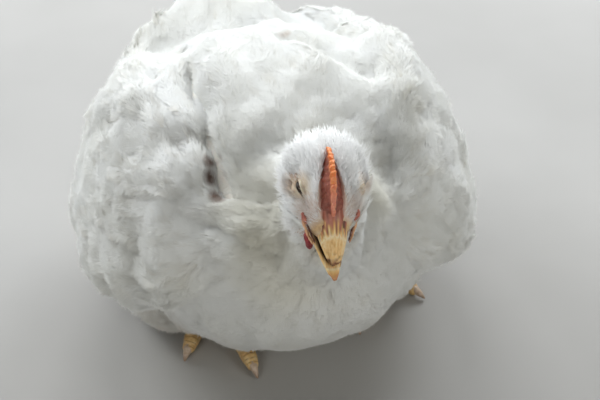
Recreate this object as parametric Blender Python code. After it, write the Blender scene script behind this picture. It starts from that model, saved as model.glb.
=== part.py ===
"""A white broiler chicken at rest, life size: it sits on its keel with the toes showing in front of the breast.

Metres, +Z up. The bird faces -Y, its left side is at +X, and it stands on z = 0. The solids give the outer form of
the plumage, and the bare parts: comb, wattles, beak, eyes, ear lobes, shanks, toes and claws.
"""

import math

import bmesh
import bpy
from mathutils import Matrix, Vector

# Driving dimensions of the bird, out to the tips of its feathers.
BODY_LENGTH = 0.226
BODY_FRONT = -0.100
GAP = 0.0004
FOOT_ROOM = 0.0025

# The trunk's side view and plan, each as values evenly spaced from the breast to the rump.
TRUNK_HALF_WIDTH = (0.070, 0.080, 0.087, 0.089, 0.087, 0.080, 0.066, 0.052)
TRUNK_MIDDLE_Z = (0.086, 0.086, 0.085, 0.084, 0.083, 0.081, 0.081, 0.088)
TRUNK_ABOVE = (0.056, 0.068, 0.077, 0.081, 0.079, 0.071, 0.056, 0.042)
TRUNK_BELOW = (0.066, 0.078, 0.086, 0.088, 0.086, 0.080, 0.066, 0.046)
TRUNK_RINGS = 20
TRUNK_SIDES = 24

# The head hangs low in front of the breast, its beak tipped down and turned a little to the right.
HEAD_CENTRE = Vector((0.0048, -0.0910, 0.1575))
HEAD_PITCH = math.radians(21)
HEAD_YAW = math.radians(-6)
HEAD_ROLL = math.radians(3)
HEAD_FRONT = -0.0300
HEAD_BACK = 0.0225
HEAD_HALF_WIDTH = (0.0062, 0.0112, 0.0156, 0.0193, 0.0214, 0.0221, 0.0212, 0.0174, 0.0092)
HEAD_ABOVE = (0.0034, 0.0088, 0.0132, 0.0163, 0.0188, 0.0198, 0.0190, 0.0158, 0.0085)
HEAD_BELOW = (0.0056, 0.0102, 0.0126, 0.0146, 0.0168, 0.0186, 0.0190, 0.0166, 0.0095)
EYE_RADIUS = 0.0046
EYE_PLACE = Vector((0.0118, -0.0075, 0.0055))
SOCKET_RADIUS = 0.0074
BEAK_TIP = Vector((0.0, -0.0466, -0.0096))
UPPER_BEAK_SHORT = 0.0072

SHANK_LENGTH = 0.048
CLAW_LENGTH = 0.0125

COLOURS = {
    "plumage": ((0.86, 0.85, 0.81), 0.85),
    "comb": ((0.55, 0.12, 0.07), 0.45),
    "horn": ((0.66, 0.40, 0.15), 0.40),
    "eye": ((0.06, 0.035, 0.02), 0.08),
    "lobe": ((0.72, 0.38, 0.30), 0.55),
    "shank": ((0.70, 0.42, 0.14), 0.50),
    "claw": ((0.72, 0.60, 0.50), 0.35),
}


def clear_scene():
    for obj in list(bpy.data.objects):
        bpy.data.objects.remove(obj)


def material(name):
    """The Principled material of one finish, made once."""
    if name in bpy.data.materials:
        return bpy.data.materials[name]
    made = bpy.data.materials.new(name)
    made.use_nodes = True
    shader = made.node_tree.nodes["Principled BSDF"]
    colour, roughness = COLOURS[name]
    shader.inputs["Base Color"].default_value = (*colour, 1.0)
    shader.inputs["Roughness"].default_value = roughness
    return made


def smooth(values, share):
    """The value at share (0 to 1) of a Catmull-Rom curve through evenly spaced values."""
    place = min(max(share, 0.0), 1.0) * (len(values) - 1)
    low = min(int(place), len(values) - 2)
    t = place - low
    before = values[low - 1] if low else values[0] * 2 - values[1]
    after = values[low + 2] if low + 2 < len(values) else values[-1] * 2 - values[-2]
    here, there = values[low], values[low + 1]
    return (
        here * 2
        + (there - before) * t
        + (before * 2 - here * 5 + there * 4 - after) * t**2
        + (here * 3 - before - there * 3 + after) * t**3
    ) * 0.5


def add_object(name, mesh, finish):
    obj = bpy.data.objects.new(name, mesh)
    bpy.context.scene.collection.objects.link(obj)
    mesh.materials.append(material(finish))
    mesh.shade_smooth()
    return obj


def ring_form(name, rings, finish):
    """A closed body through rings of points, each ring with as many points, with a pole at either end."""
    bm = bmesh.new()
    loops = [[bm.verts.new(point) for point in ring] for ring in rings]
    sides = len(loops[0])
    for lower, upper in zip(loops, loops[1:]):
        for i in range(sides):
            j = (i + 1) % sides
            bm.faces.new((lower[i], lower[j], upper[j], upper[i]))
    for loop, ring in ((loops[0], rings[0]), (loops[-1], rings[-1])):
        pole = bm.verts.new(sum(ring, Vector()) / sides)
        for i in range(sides):
            bm.faces.new((loop[i], loop[(i + 1) % sides], pole))
    bmesh.ops.recalc_face_normals(bm, faces=bm.faces)
    mesh = bpy.data.meshes.new(name)
    bm.to_mesh(mesh)
    bm.free()
    return add_object(name, mesh, finish)


def oval(centre, across, up, half_width, above, below, sides, power=2.0, power_below=None):
    """A ring of points: a superellipse whose upper and lower halves have their own heights and squareness."""
    points = []
    for i in range(sides):
        angle = 2 * math.pi * i / sides
        c, s = math.cos(angle), math.sin(angle)
        shape = 2 / (power if s > 0 else power_below or power)
        x = math.copysign(abs(c) ** shape, c) * half_width
        z = math.copysign(abs(s) ** shape, s) * (above if s > 0 else below)
        points.append(centre + across * x + up * z)
    return points


def tube_along(name, path, half_widths, heights, finish, sides=10, rings=12, up=Vector((0, 0, 1)), floor=None):
    """A rounded form along a smooth path, whose half width and half height change on the way."""
    made = []
    for k in range(rings):
        share = 0.5 - 0.5 * math.cos(math.pi * (k + 0.5) / rings)
        close = min(1.0, math.sin(math.pi * (k + 0.5) / rings) * 1.6)
        centre = smooth(path, share)
        ahead = smooth(path, min(share + 0.02, 1.0)) - smooth(path, max(share - 0.02, 0.0))
        across = ahead.cross(up).normalized()
        over = across.cross(ahead).normalized()
        half_width = smooth(half_widths, share) * close
        height = smooth(heights, share) * close
        ring = oval(centre, across, over, half_width, height, height, sides)
        if floor is not None:
            ring = [Vector((p.x, p.y, max(p.z, floor))) for p in ring]
        made.append(ring)
    return ring_form(name, made, finish)


def cutter_of(obj, grow):
    """A hidden copy of a form, grown outwards, that clears a space for it in a neighbour."""
    cutter = obj.copy()
    cutter.data = obj.data.copy()
    cutter.name = "cut_" + obj.name
    cutter.modifiers.clear()
    swell = cutter.modifiers.new("grow", "DISPLACE")
    swell.strength = grow
    swell.mid_level = 0.0
    cutter.hide_render = True
    cutter.display_type = "WIRE"
    bpy.context.scene.collection.objects.link(cutter)
    return cutter


def cut(obj, *others, grow=GAP):
    """Takes the grown shape of each other form out of obj."""
    for other in others:
        boolean = obj.modifiers.new("clear_" + other.name, "BOOLEAN")
        boolean.operation = "DIFFERENCE"
        boolean.solver = "EXACT"
        boolean.object = cutter_of(other, grow)


def room_for(name, *others):
    """A hidden convex block round several forms, a little larger than they are."""
    bm = bmesh.new()
    for other in others:
        for vertex in other.data.vertices:
            bm.verts.new(vertex.co)
    bmesh.ops.convex_hull(bm, input=bm.verts)
    bmesh.ops.delete(bm, geom=[v for v in bm.verts if not v.link_faces], context="VERTS")
    bmesh.ops.recalc_face_normals(bm, faces=bm.faces)
    mesh = bpy.data.meshes.new(name)
    bm.to_mesh(mesh)
    bm.free()
    block = bpy.data.objects.new(name, mesh)
    block.hide_render = True
    block.display_type = "WIRE"
    bpy.context.scene.collection.objects.link(block)
    return block


def trunk():
    """Breast, back, belly and rump as one egg, flat where the keel and belly rest on the floor."""
    rings = []
    for k in range(TRUNK_RINGS):
        angle = math.pi * (k + 0.6) / (TRUNK_RINGS + 0.2)
        share = 0.5 - 0.5 * math.cos(angle)
        close = math.sin(angle) ** 0.82
        centre = Vector((0, BODY_FRONT + BODY_LENGTH * share, smooth(TRUNK_MIDDLE_Z, share)))
        ring = oval(
            centre,
            Vector((1, 0, 0)),
            Vector((0, 0, 1)),
            smooth(TRUNK_HALF_WIDTH, share) * close,
            smooth(TRUNK_ABOVE, share) * close,
            smooth(TRUNK_BELOW, share) * close,
            TRUNK_SIDES,
            power=2.1,
            power_below=2.5,
        )
        rings.append([Vector((p.x, p.y, max(p.z, 0.0))) for p in ring])
    return ring_form("trunk", rings, "plumage")


def head_frame():
    """The head's place: its own -Y runs along the beak and its +Z through the comb."""
    return (
        Matrix.Translation(HEAD_CENTRE)
        @ Matrix.Rotation(HEAD_YAW, 4, "Z")
        @ Matrix.Rotation(HEAD_PITCH, 4, "X")
        @ Matrix.Rotation(HEAD_ROLL, 4, "Y")
    )


def to_head(obj):
    """Carries a form modelled in the head's own axes to its place on the bird."""
    obj.data.transform(head_frame())
    return obj


def head():
    rings = []
    count = 14
    for k in range(count):
        share = 0.5 - 0.5 * math.cos(math.pi * (k + 0.5) / count)
        centre = Vector((0, HEAD_FRONT + (HEAD_BACK - HEAD_FRONT) * share, 0))
        size = (smooth(values, share) for values in (HEAD_HALF_WIDTH, HEAD_ABOVE, HEAD_BELOW))
        rings.append(oval(centre, Vector((1, 0, 0)), Vector((0, 0, 1)), *size, 18))
    return to_head(ring_form("head", rings, "plumage"))


def ball(name, centre, radius, finish):
    bm = bmesh.new()
    bmesh.ops.create_uvsphere(bm, u_segments=10, v_segments=6, radius=radius)
    mesh = bpy.data.meshes.new(name)
    bm.to_mesh(mesh)
    bm.free()
    mesh.transform(Matrix.Translation(centre))
    return to_head(add_object(name, mesh, finish))


def eye(side):
    """One eyeball, and the hollow between brow and cheek in which it lies."""
    centre = Vector((EYE_PLACE.x * side, EYE_PLACE.y, EYE_PLACE.z))
    outward = Vector((0.84 * side, -0.30, 0.46))
    hollow = ball("hollow", centre + outward * 0.0078, SOCKET_RADIUS, "plumage")
    hollow.hide_render = True
    hollow.display_type = "WIRE"
    return ball("eye_left" if side > 0 else "eye_right", centre, EYE_RADIUS, "eye"), hollow


def ear_lobe(side):
    """The small bare lobe behind and below the eye."""
    path = [Vector((0.0178 * side, y, z)) for y, z in ((-0.0035, -0.0045), (-0.0020, -0.0080), (-0.0025, -0.0115))]
    name = "ear_lobe_left" if side > 0 else "ear_lobe_right"
    return to_head(
        tube_along(name, path, [0.0018, 0.0030, 0.0018], [0.0022, 0.0026, 0.0020], "lobe", 8, 6, Vector((0, 1, 0)))
    )


def comb():
    """A low single comb, thick at the base, its ridge cut into small points."""
    count = 25
    front, back = -0.0300, 0.0062
    rings = []
    for k in range(count):
        share = (k + 0.5) / count
        rise = math.sin(math.pi * share) ** 0.6
        point = 0.0016 * abs(math.sin(math.pi * share * 9)) * rise
        foot = smooth((0.0040, 0.0112, 0.0152, 0.0172, 0.0176), share)
        top = foot + 0.0030 + 0.0062 * rise + point
        half = 0.0014 + 0.0042 * rise
        y = front + (back - front) * share
        ridge = 0.0007 + 0.0008 * rise
        rings.append(
            [
                Vector((half, y, foot - 0.0040)),
                Vector((half * 0.74, y, foot + 0.0020)),
                Vector((ridge * 1.1, y, foot + (top - foot) * 0.6)),
                Vector((ridge, y, top - 0.0003)),
                Vector((-ridge, y, top - 0.0003)),
                Vector((-ridge * 1.1, y, foot + (top - foot) * 0.6)),
                Vector((-half * 0.74, y, foot + 0.0020)),
                Vector((-half, y, foot - 0.0040)),
            ]
        )
    return to_head(ring_form("comb", rings, "comb"))


def beak(name, length, base, half_widths, above, below):
    """One half of the beak, from the gape to its tip. The upper half is short and blunt."""
    rings = []
    count = 9
    for k in range(count):
        share = k / (count - 1)
        centre = base.lerp(BEAK_TIP + Vector((0, length, base.z * 0.1)), share)
        size = (smooth(values, share) for values in (half_widths, above, below))
        rings.append(oval(centre, Vector((1, 0, 0)), Vector((0, 0, 1)), *size, 12, power=1.8))
    return to_head(ring_form(name, rings, "horn"))


def wattle(side):
    """A small flat wattle hanging from the corner of the lower jaw."""
    path = [
        Vector((0.0096 * side, -0.0200, -0.0085)),
        Vector((0.0112 * side, -0.0212, -0.0125)),
        Vector((0.0114 * side, -0.0222, -0.0175)),
    ]
    name = "wattle_left" if side > 0 else "wattle_right"
    return to_head(
        tube_along(name, path, [0.0030, 0.0042, 0.0034], [0.0016, 0.0018, 0.0014], "comb", 8, 7, Vector((1, 0, 0)))
    )


def neck():
    """The short drawn-in neck: wide where the hackle spreads over the breast, narrow behind the head."""
    top = head_frame() @ Vector((0, 0.0100, -0.0020))
    path = [
        Vector((0.000, -0.0300, 0.1000)),
        Vector((0.001, -0.0560, 0.1120)),
        Vector((0.003, -0.0740, 0.1320)),
        top,
    ]
    return tube_along(
        "neck", path, [0.050, 0.055, 0.038, 0.0195], [0.036, 0.042, 0.034, 0.0190], "plumage", 16, 12
    )


def wing(side, lift):
    """The folded arm and its coverts, a thick leaf on the flank. Lift holds its upper edge off the back."""
    count, sides = 14, 16
    front, back = -0.076, 0.092
    rings = []
    for k in range(count):
        angle = math.pi * (k + 0.5) / count
        share = 0.5 - 0.5 * math.cos(angle)
        close = math.sin(angle) ** 0.75
        lean = smooth((0.50, 0.40, 0.34, 0.30, 0.34), share)
        centre = Vector(
            (
                side * (smooth((0.053, 0.069, 0.074, 0.071, 0.053), share) + lift * 0.3),
                front + (back - front) * share,
                smooth((0.096, 0.097, 0.096, 0.096, 0.098), share),
            )
        )
        up = Vector((-side * math.sin(lean), 0, math.cos(lean)))
        across = Vector((math.cos(lean), 0, side * math.sin(lean)))
        half_width = smooth((0.024, 0.025, 0.025, 0.023, 0.018), share) * close
        above = (smooth((0.040, 0.050, 0.053, 0.046, 0.030), share) + lift) * close
        below = smooth((0.050, 0.057, 0.057, 0.050, 0.034), share) * close
        rings.append(oval(centre, across, up, half_width, above, below, sides, power=2.5))
    return ring_form("wing_left" if side > 0 else "wing_right", rings, "plumage")


def flight_feathers(side, lift):
    """The closed fan of primaries and secondaries that runs out from under the coverts to the tail."""
    path = [
        Vector((side * (x + lift * 0.5), y, z + lift * 0.5))
        for x, y, z in ((0.070, 0.030, 0.092), (0.064, 0.075, 0.090), (0.048, 0.108, 0.090), (0.032, 0.136, 0.092))
    ]
    name = "flight_left" if side > 0 else "flight_right"
    return tube_along(name, path, [0.010, 0.012, 0.010, 0.006], [0.030, 0.034, 0.026, 0.010], "plumage", 10, 12)


def tail():
    """The short tent of the tail feathers with its coverts."""
    path = [
        Vector((-0.001, 0.070, 0.106)),
        Vector((-0.003, 0.102, 0.114)),
        Vector((-0.004, 0.130, 0.127)),
        Vector((-0.005, 0.158, 0.143)),
    ]
    return tube_along("tail", path, [0.042, 0.038, 0.017, 0.010], [0.030, 0.028, 0.022, 0.012], "plumage", 14, 12)


def thigh(side):
    """The feathered thigh and drumstick, folded on the floor below the wing."""
    path = [
        Vector((side * x, y, z))
        for x, y, z in ((0.054, -0.030, 0.044), (0.066, 0.002, 0.042), (0.068, 0.042, 0.040), (0.055, 0.074, 0.038))
    ]
    name = "thigh_left" if side > 0 else "thigh_right"
    return tube_along(
        name, path, [0.022, 0.025, 0.026, 0.020], [0.037, 0.041, 0.041, 0.032], "plumage", 14, 12, floor=0.0
    )


def foot_parts(side, ball, heading):
    """Shank, foot and four claws of one leg. Ball is where the toes meet, and heading turns the middle toe."""
    tag = "left" if side > 0 else "right"
    hock = ball + Matrix.Rotation(heading, 3, "Z") @ Vector((0, SHANK_LENGTH, 0.002))
    shank_path = [hock, hock.lerp(ball, 0.5) + Vector((0, 0, 0.001)), ball + Vector((0, 0.004, 0.0015))]
    shank = tube_along(
        "shank_" + tag, shank_path, [0.0080, 0.0058, 0.0064], [0.0085, 0.0064, 0.0062], "shank", 8, 8, floor=0.0
    )
    toes, claws = [], []
    for number, (turn, length) in enumerate(((-30, 0.044), (0, 0.060), (36, 0.044), (-135, 0.020))):
        spin = Matrix.Rotation(heading + math.radians(turn * side), 3, "Z")
        along = spin @ Vector((0, -1, 0))
        path = [
            ball + along * (length * t) + Vector((0, 0, rise))
            for t, rise in ((0.0, 0.0), (0.35, -0.0016), (0.7, -0.0034), (1.0, -0.0046))
        ]
        toe = tube_along(
            f"toe_{tag}_{number}", path, [0.0064, 0.0054, 0.0050, 0.0036], [0.0060, 0.0054, 0.0050, 0.0036],
            "shank", 8, 8, floor=0.0,
        )
        toes.append(toe)
        start = path[-1]
        claw_path = [
            start + along * (CLAW_LENGTH * t) + Vector((0, 0, rise))
            for t, rise in ((-0.30, 0.0006), (0.25, 0.0012), (0.65, -0.0003), (0.95, -0.0030))
        ]
        claws.append(
            tube_along(
                f"claw_{tag}_{number + 1}", claw_path, [0.0021, 0.0019, 0.0013, 0.0005],
                [0.0026, 0.0022, 0.0014, 0.0005], "claw", 6, 6, floor=0.0,
            )
        )
    foot = toes[0]
    foot.name = "foot_" + tag
    for toe in toes[1:]:
        union = foot.modifiers.new("join_" + toe.name, "BOOLEAN")
        union.operation = "UNION"
        union.solver = "MANIFOLD"
        union.object = toe
        toe.hide_render = True
        toe.display_type = "WIRE"
    return shank, foot, toes, claws


def centre_on_origin():
    """Moves everything so that the bird's box is centred over the origin."""
    graph = bpy.context.evaluated_depsgraph_get()
    shown = [obj.evaluated_get(graph) for obj in bpy.context.scene.objects if not obj.hide_render]
    corners = [obj.matrix_world @ Vector(corner) for obj in shown for corner in obj.bound_box]
    for axis in (0, 1):
        low = min(corner[axis] for corner in corners)
        high = max(corner[axis] for corner in corners)
        for obj in bpy.context.scene.objects:
            obj.location[axis] -= (low + high) / 2


def build():
    clear_scene()
    body = trunk()
    skull = head()
    throat = neck()
    rump = tail()
    upper = beak(
        "beak_upper", UPPER_BEAK_SHORT, Vector((0, -0.0190, 0.0006)),
        (0.0098, 0.0092, 0.0074, 0.0048, 0.0026), (0.0062, 0.0064, 0.0058, 0.0044, 0.0022),
        (0.0030, 0.0028, 0.0026, 0.0024, 0.0018),
    )
    lower = beak(
        "beak_lower", 0.0, Vector((0, -0.0140, -0.0054)),
        (0.0136, 0.0122, 0.0092, 0.0060, 0.0020), (0.0026, 0.0022, 0.0018, 0.0018, 0.0010),
        (0.0038, 0.0040, 0.0036, 0.0030, 0.0014),
    )
    crest = comb()
    cut(lower, upper)
    cut(crest, skull, upper)
    for side in (-1, 1):
        pupil, hollow = eye(side)
        cut(skull, hollow, grow=0)
        cut(skull, pupil)
        lobe = ear_lobe(side)
        cut(lobe, skull)
        cut(throat, lobe)
        drop = wattle(side)
        cut(drop, skull, lower, upper, throat)
    cut(upper, skull)
    cut(lower, skull)
    cut(throat, skull, body)
    cut(rump, body)
    for side, lift in ((-1, 0.006), (1, 0.012)):
        arm = wing(side, lift)
        cut(arm, body, throat)
        flight = flight_feathers(side, lift)
        cut(flight, body, arm, rump)
        leg = thigh(side)
        cut(leg, flight, arm, body)
        heading = math.radians(9 if side < 0 else -4)
        place = Vector((-0.035, 0.009, 0.0080)) if side < 0 else Vector((0.044, 0.022, 0.0080))
        shank, foot, toes, claws = foot_parts(side, place, heading)
        cut(shank, *toes)
        for toe, claw in zip(toes, claws):
            cut(claw, toe)
        space = room_for("foot_room", shank, *toes, *claws)
        cut(body, space, grow=FOOT_ROOM)
        cut(leg, space, grow=FOOT_ROOM)
    centre_on_origin()


build()
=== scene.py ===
"""The looks of a young white meat chicken at rest: skin, plumage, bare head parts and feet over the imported
solids."""

import math

import bmesh
import bpy
import numpy as np
from mathutils import Matrix, Vector
from mathutils.bvhtree import BVHTree


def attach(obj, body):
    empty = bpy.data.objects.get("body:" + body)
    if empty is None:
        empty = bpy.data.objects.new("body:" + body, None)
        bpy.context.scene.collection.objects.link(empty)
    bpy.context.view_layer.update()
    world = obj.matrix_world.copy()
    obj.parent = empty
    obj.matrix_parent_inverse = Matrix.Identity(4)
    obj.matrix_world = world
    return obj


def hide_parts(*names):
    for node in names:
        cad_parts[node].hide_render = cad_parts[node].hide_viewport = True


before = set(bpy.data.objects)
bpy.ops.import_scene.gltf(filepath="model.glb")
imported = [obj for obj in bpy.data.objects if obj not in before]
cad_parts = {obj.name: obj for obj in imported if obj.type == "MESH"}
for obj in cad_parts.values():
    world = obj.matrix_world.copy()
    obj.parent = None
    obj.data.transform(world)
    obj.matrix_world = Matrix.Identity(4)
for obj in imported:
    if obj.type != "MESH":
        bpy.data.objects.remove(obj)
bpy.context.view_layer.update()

# ----------------------------------------------------------------------------------------------------------
# Stage. A pale seamless floor, a large soft light high behind the bird as an open sky gives, and weak fill
# from the front. The camera looks down on the bird from in front of its right shoulder.

BIRD_MIDDLE = Vector((0.0116, -0.0221, 0.0769))
VIEW_TURN = math.radians(-13)
VIEW_RISE = math.radians(40)
VIEW_DISTANCE = 0.70

camera = bpy.data.objects.new("camera", bpy.data.cameras.new("camera"))
bpy.context.scene.collection.objects.link(camera)
camera.data.lens = 77
camera.data.clip_start = 0.01
camera_back = Vector(
    (
        math.sin(VIEW_TURN) * math.cos(VIEW_RISE),
        -math.cos(VIEW_TURN) * math.cos(VIEW_RISE),
        math.sin(VIEW_RISE),
    )
)
camera.location = BIRD_MIDDLE + camera_back * VIEW_DISTANCE
camera.rotation_euler = camera_back.to_track_quat("Z", "Y").to_euler()
bpy.context.scene.camera = camera


LAMP_SIZE = 0.70
OPEN_SKY = (0.93, 0.97, 1.0)
BRIGHT_SKY = (0.95, 0.98, 1.0)
WARM_FILL = (1.0, 1.0, 0.94)


def soft_light(name, place, power, colour):
    """A square lamp that faces the bird."""
    lamp = bpy.data.lights.new(name, "AREA")
    lamp.size = LAMP_SIZE
    lamp.energy = power
    lamp.color = colour
    obj = bpy.data.objects.new(name, lamp)
    obj.location = place
    obj.rotation_euler = (Vector(place) - BIRD_MIDDLE).to_track_quat("Z", "Y").to_euler()
    bpy.context.scene.collection.objects.link(obj)


soft_light("sky_left", (-0.80, 0.79, 0.88), 14.5, OPEN_SKY)
soft_light("sky_right", (0.82, 0.79, 0.88), 15.0, OPEN_SKY)
soft_light("sky_behind", (0.01, 0.88, 1.15), 10.0, BRIGHT_SKY)
soft_light("fill_left", (-0.80, -0.99, 0.67), 4.4, WARM_FILL)
soft_light("fill_right", (0.83, -0.99, 0.67), 5.2, WARM_FILL)

world = bpy.data.worlds.new("studio")
world.use_nodes = True
world.node_tree.nodes["Background"].inputs["Color"].default_value = (0.86, 0.88, 0.92, 1.0)
world.node_tree.nodes["Background"].inputs["Strength"].default_value = 0.05
bpy.context.scene.view_settings.view_transform = "Standard"
bpy.context.scene.world = world


def add_node(tree, kind, settings=None, **inputs):
    """A shader node. Each input is a value or another node's output, and its name has _ for a space."""
    made = tree.nodes.new(kind)
    for key, value in (settings or {}).items():
        setattr(made, key, value)
    for key, value in inputs.items():
        socket = made.inputs[int(key[2:])] if key.startswith("at") else made.inputs[key.replace("_", " ")]
        if isinstance(value, bpy.types.NodeSocket):
            tree.links.new(value, socket)
        else:
            socket.default_value = value
    return made


def new_finish(name, roughness, **fixed):
    """A Principled material: its tree, its shader, and its Object coordinates."""
    made = bpy.data.materials.new(name)
    made.use_nodes = True
    tree = made.node_tree
    shader = tree.nodes["Principled BSDF"]
    shader.inputs["Roughness"].default_value = roughness
    for key, value in fixed.items():
        shader.inputs[key.replace("_", " ")].default_value = value
    place = tree.nodes.new("ShaderNodeTexCoord").outputs["Object"]
    return made, tree, shader, place


def noise(tree, place, scale, detail=3.0, rough=0.55):
    """Smooth noise of about 0 to 1, with that many spots to a metre."""
    made = add_node(tree, "ShaderNodeTexNoise", Vector=place, Scale=scale, Detail=detail, Roughness=rough)
    return made.outputs["Fac"]


def ramp(tree, factor, *stops):
    """A colour ramp through (position, colour) stops."""
    made = add_node(tree, "ShaderNodeValToRGB", Fac=factor)
    band = made.color_ramp
    while len(band.elements) < len(stops):
        band.elements.new(0.5)
    for element, (position, colour) in zip(band.elements, stops):
        element.position = position
        element.color = (*colour, 1.0)
    return made.outputs["Color"]


def add_piece(name, vertices, faces, finish, smooth=True):
    """A mesh object from numpy or plain lists, linked to the scene."""
    mesh = bpy.data.meshes.new(name)
    vertices = np.asarray(vertices, np.float32)
    faces = np.asarray(faces, np.int32)
    sides = faces.shape[1]
    mesh.vertices.add(len(vertices))
    mesh.vertices.foreach_set("co", vertices.ravel())
    mesh.loops.add(faces.size)
    mesh.loops.foreach_set("vertex_index", faces.ravel())
    mesh.polygons.add(len(faces))
    mesh.polygons.foreach_set("loop_start", np.arange(len(faces), dtype=np.int32) * sides)
    mesh.update(calc_edges=True)
    mesh.validate()
    if smooth:
        mesh.shade_smooth()
    mesh.materials.append(finish)
    obj = bpy.data.objects.new(name, mesh)
    bpy.context.scene.collection.objects.link(obj)
    return obj


FLOOR_HALF = 6.0
FLOOR_TOP = -0.0004

floor_finish, tree, shader, place = new_finish("pale_floor", 0.9)
cloudy = ramp(tree, noise(tree, place, 6.0), (0.3, (0.40, 0.39, 0.375)), (0.7, (0.44, 0.43, 0.415)))
tree.links.new(cloudy, shader.inputs["Base Color"])
corners = [(x * FLOOR_HALF, y * FLOOR_HALF, FLOOR_TOP) for x, y in ((-1, -1), (1, -1), (1, 1), (-1, 1))]
floor = add_piece("floor", corners, [(0, 1, 2, 3)], floor_finish)

# ----------------------------------------------------------------------------------------------------------
# Skin. One closed hide over head, neck, trunk, wings, thighs and tail stump, thin and pinkish, that lies
# under the plumage by the feathers' depth. It is bare round the eye and at the beak, with lids, mouth
# corners and folds.

FLESH = ["head", "neck", "trunk", "tail", "wing_left", "wing_right", "thigh_left", "thigh_right"]
QUILL_NODES = ["flight_left", "flight_right"]
HEAD_CENTRE = Vector((0.0039, -0.10495, 0.1575))
HEAD_TURN = (
    Matrix.Rotation(math.radians(-6), 3, "Z")
    @ Matrix.Rotation(math.radians(21), 3, "X")
    @ Matrix.Rotation(math.radians(3), 3, "Y")
)
TURN = np.array(HEAD_TURN)
BODY_COAT = 0.0085
HEAD_COAT = 0.0030
FACE_COAT = 0.0012
EYE = np.array((0.0118, -0.0075, 0.0055))
EYE_RADIUS = 0.0046
FACE_MIDDLE = (0, -0.008, 0.002)
SKIN_CELL = 0.0019
SINKING_ROUNDS = 4


def in_head(points):
    """World points in the head's own axes: -Y along the beak, +Z through the comb."""
    return (np.asarray(points) - np.array(HEAD_CENTRE)) @ TURN


def from_head(points):
    """Points in the head's own axes, as world points."""
    return np.asarray(points) @ TURN.T + np.array(HEAD_CENTRE)


def ease(value, low, high):
    """0 below low, 1 above high, smooth between."""
    t = np.clip((value - low) / (high - low), 0.0, 1.0)
    return t * t * (3.0 - 2.0 * t)


def unit(vectors):
    return vectors / np.maximum(np.linalg.norm(vectors, axis=-1, keepdims=True), 1e-12)


def ripple(points, size, seed):
    """Smooth seeded unevenness of about -1 to 1 that changes over that size, in metres."""
    rng = np.random.default_rng(seed)
    waves = unit(rng.normal(size=(7, 3))) * (2 * math.pi / size) * rng.uniform(0.6, 1.5, (7, 1))
    return np.sin(points @ waves.T + rng.uniform(0, 2 * math.pi, 7)).sum(axis=-1) / 3.2


def points_of(mesh):
    found = np.empty(len(mesh.vertices) * 3, np.float32)
    mesh.vertices.foreach_get("co", found)
    return found.reshape(-1, 3).astype(float)


def normals_of(mesh):
    found = np.empty(len(mesh.vertices) * 3, np.float32)
    mesh.vertex_normals.foreach_get("vector", found)
    return found.reshape(-1, 3).astype(float)


def move_points(mesh, points):
    mesh.vertices.foreach_set("co", points.astype(np.float32).ravel())
    mesh.update()


def settled(obj):
    """The object with its modifiers worked into its mesh."""
    graph = bpy.context.evaluated_depsgraph_get()
    made = bpy.data.meshes.new_from_object(obj.evaluated_get(graph))
    obj.modifiers.clear()
    obj.data = made
    return obj


def relaxed(obj, rounds, factor=0.5, cell=None):
    """The object's mesh made again in voxels, where a cell is given, and then smoothed."""
    if cell:
        remesh = obj.modifiers.new("fuse", "REMESH")
        remesh.mode = "VOXEL"
        remesh.voxel_size = cell
    calm = obj.modifiers.new("relax", "SMOOTH")
    calm.iterations = rounds
    calm.factor = factor
    return settled(obj)


def fused(name, nodes, cell, swell, rounds):
    """One closed smooth mesh over several solids: swollen until they touch, made again in voxels, and
    smoothed."""
    bm = bmesh.new()
    for node in nodes:
        bm.from_mesh(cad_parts[node].data)
    bmesh.ops.remove_doubles(bm, verts=bm.verts, dist=1e-5)
    mesh = bpy.data.meshes.new(name)
    bm.to_mesh(mesh)
    bm.free()
    obj = bpy.data.objects.new(name, mesh)
    bpy.context.scene.collection.objects.link(obj)
    grow = obj.modifiers.new("swell", "DISPLACE")
    grow.strength = swell
    grow.mid_level = 0.0
    return relaxed(obj, rounds, cell=cell)


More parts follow.
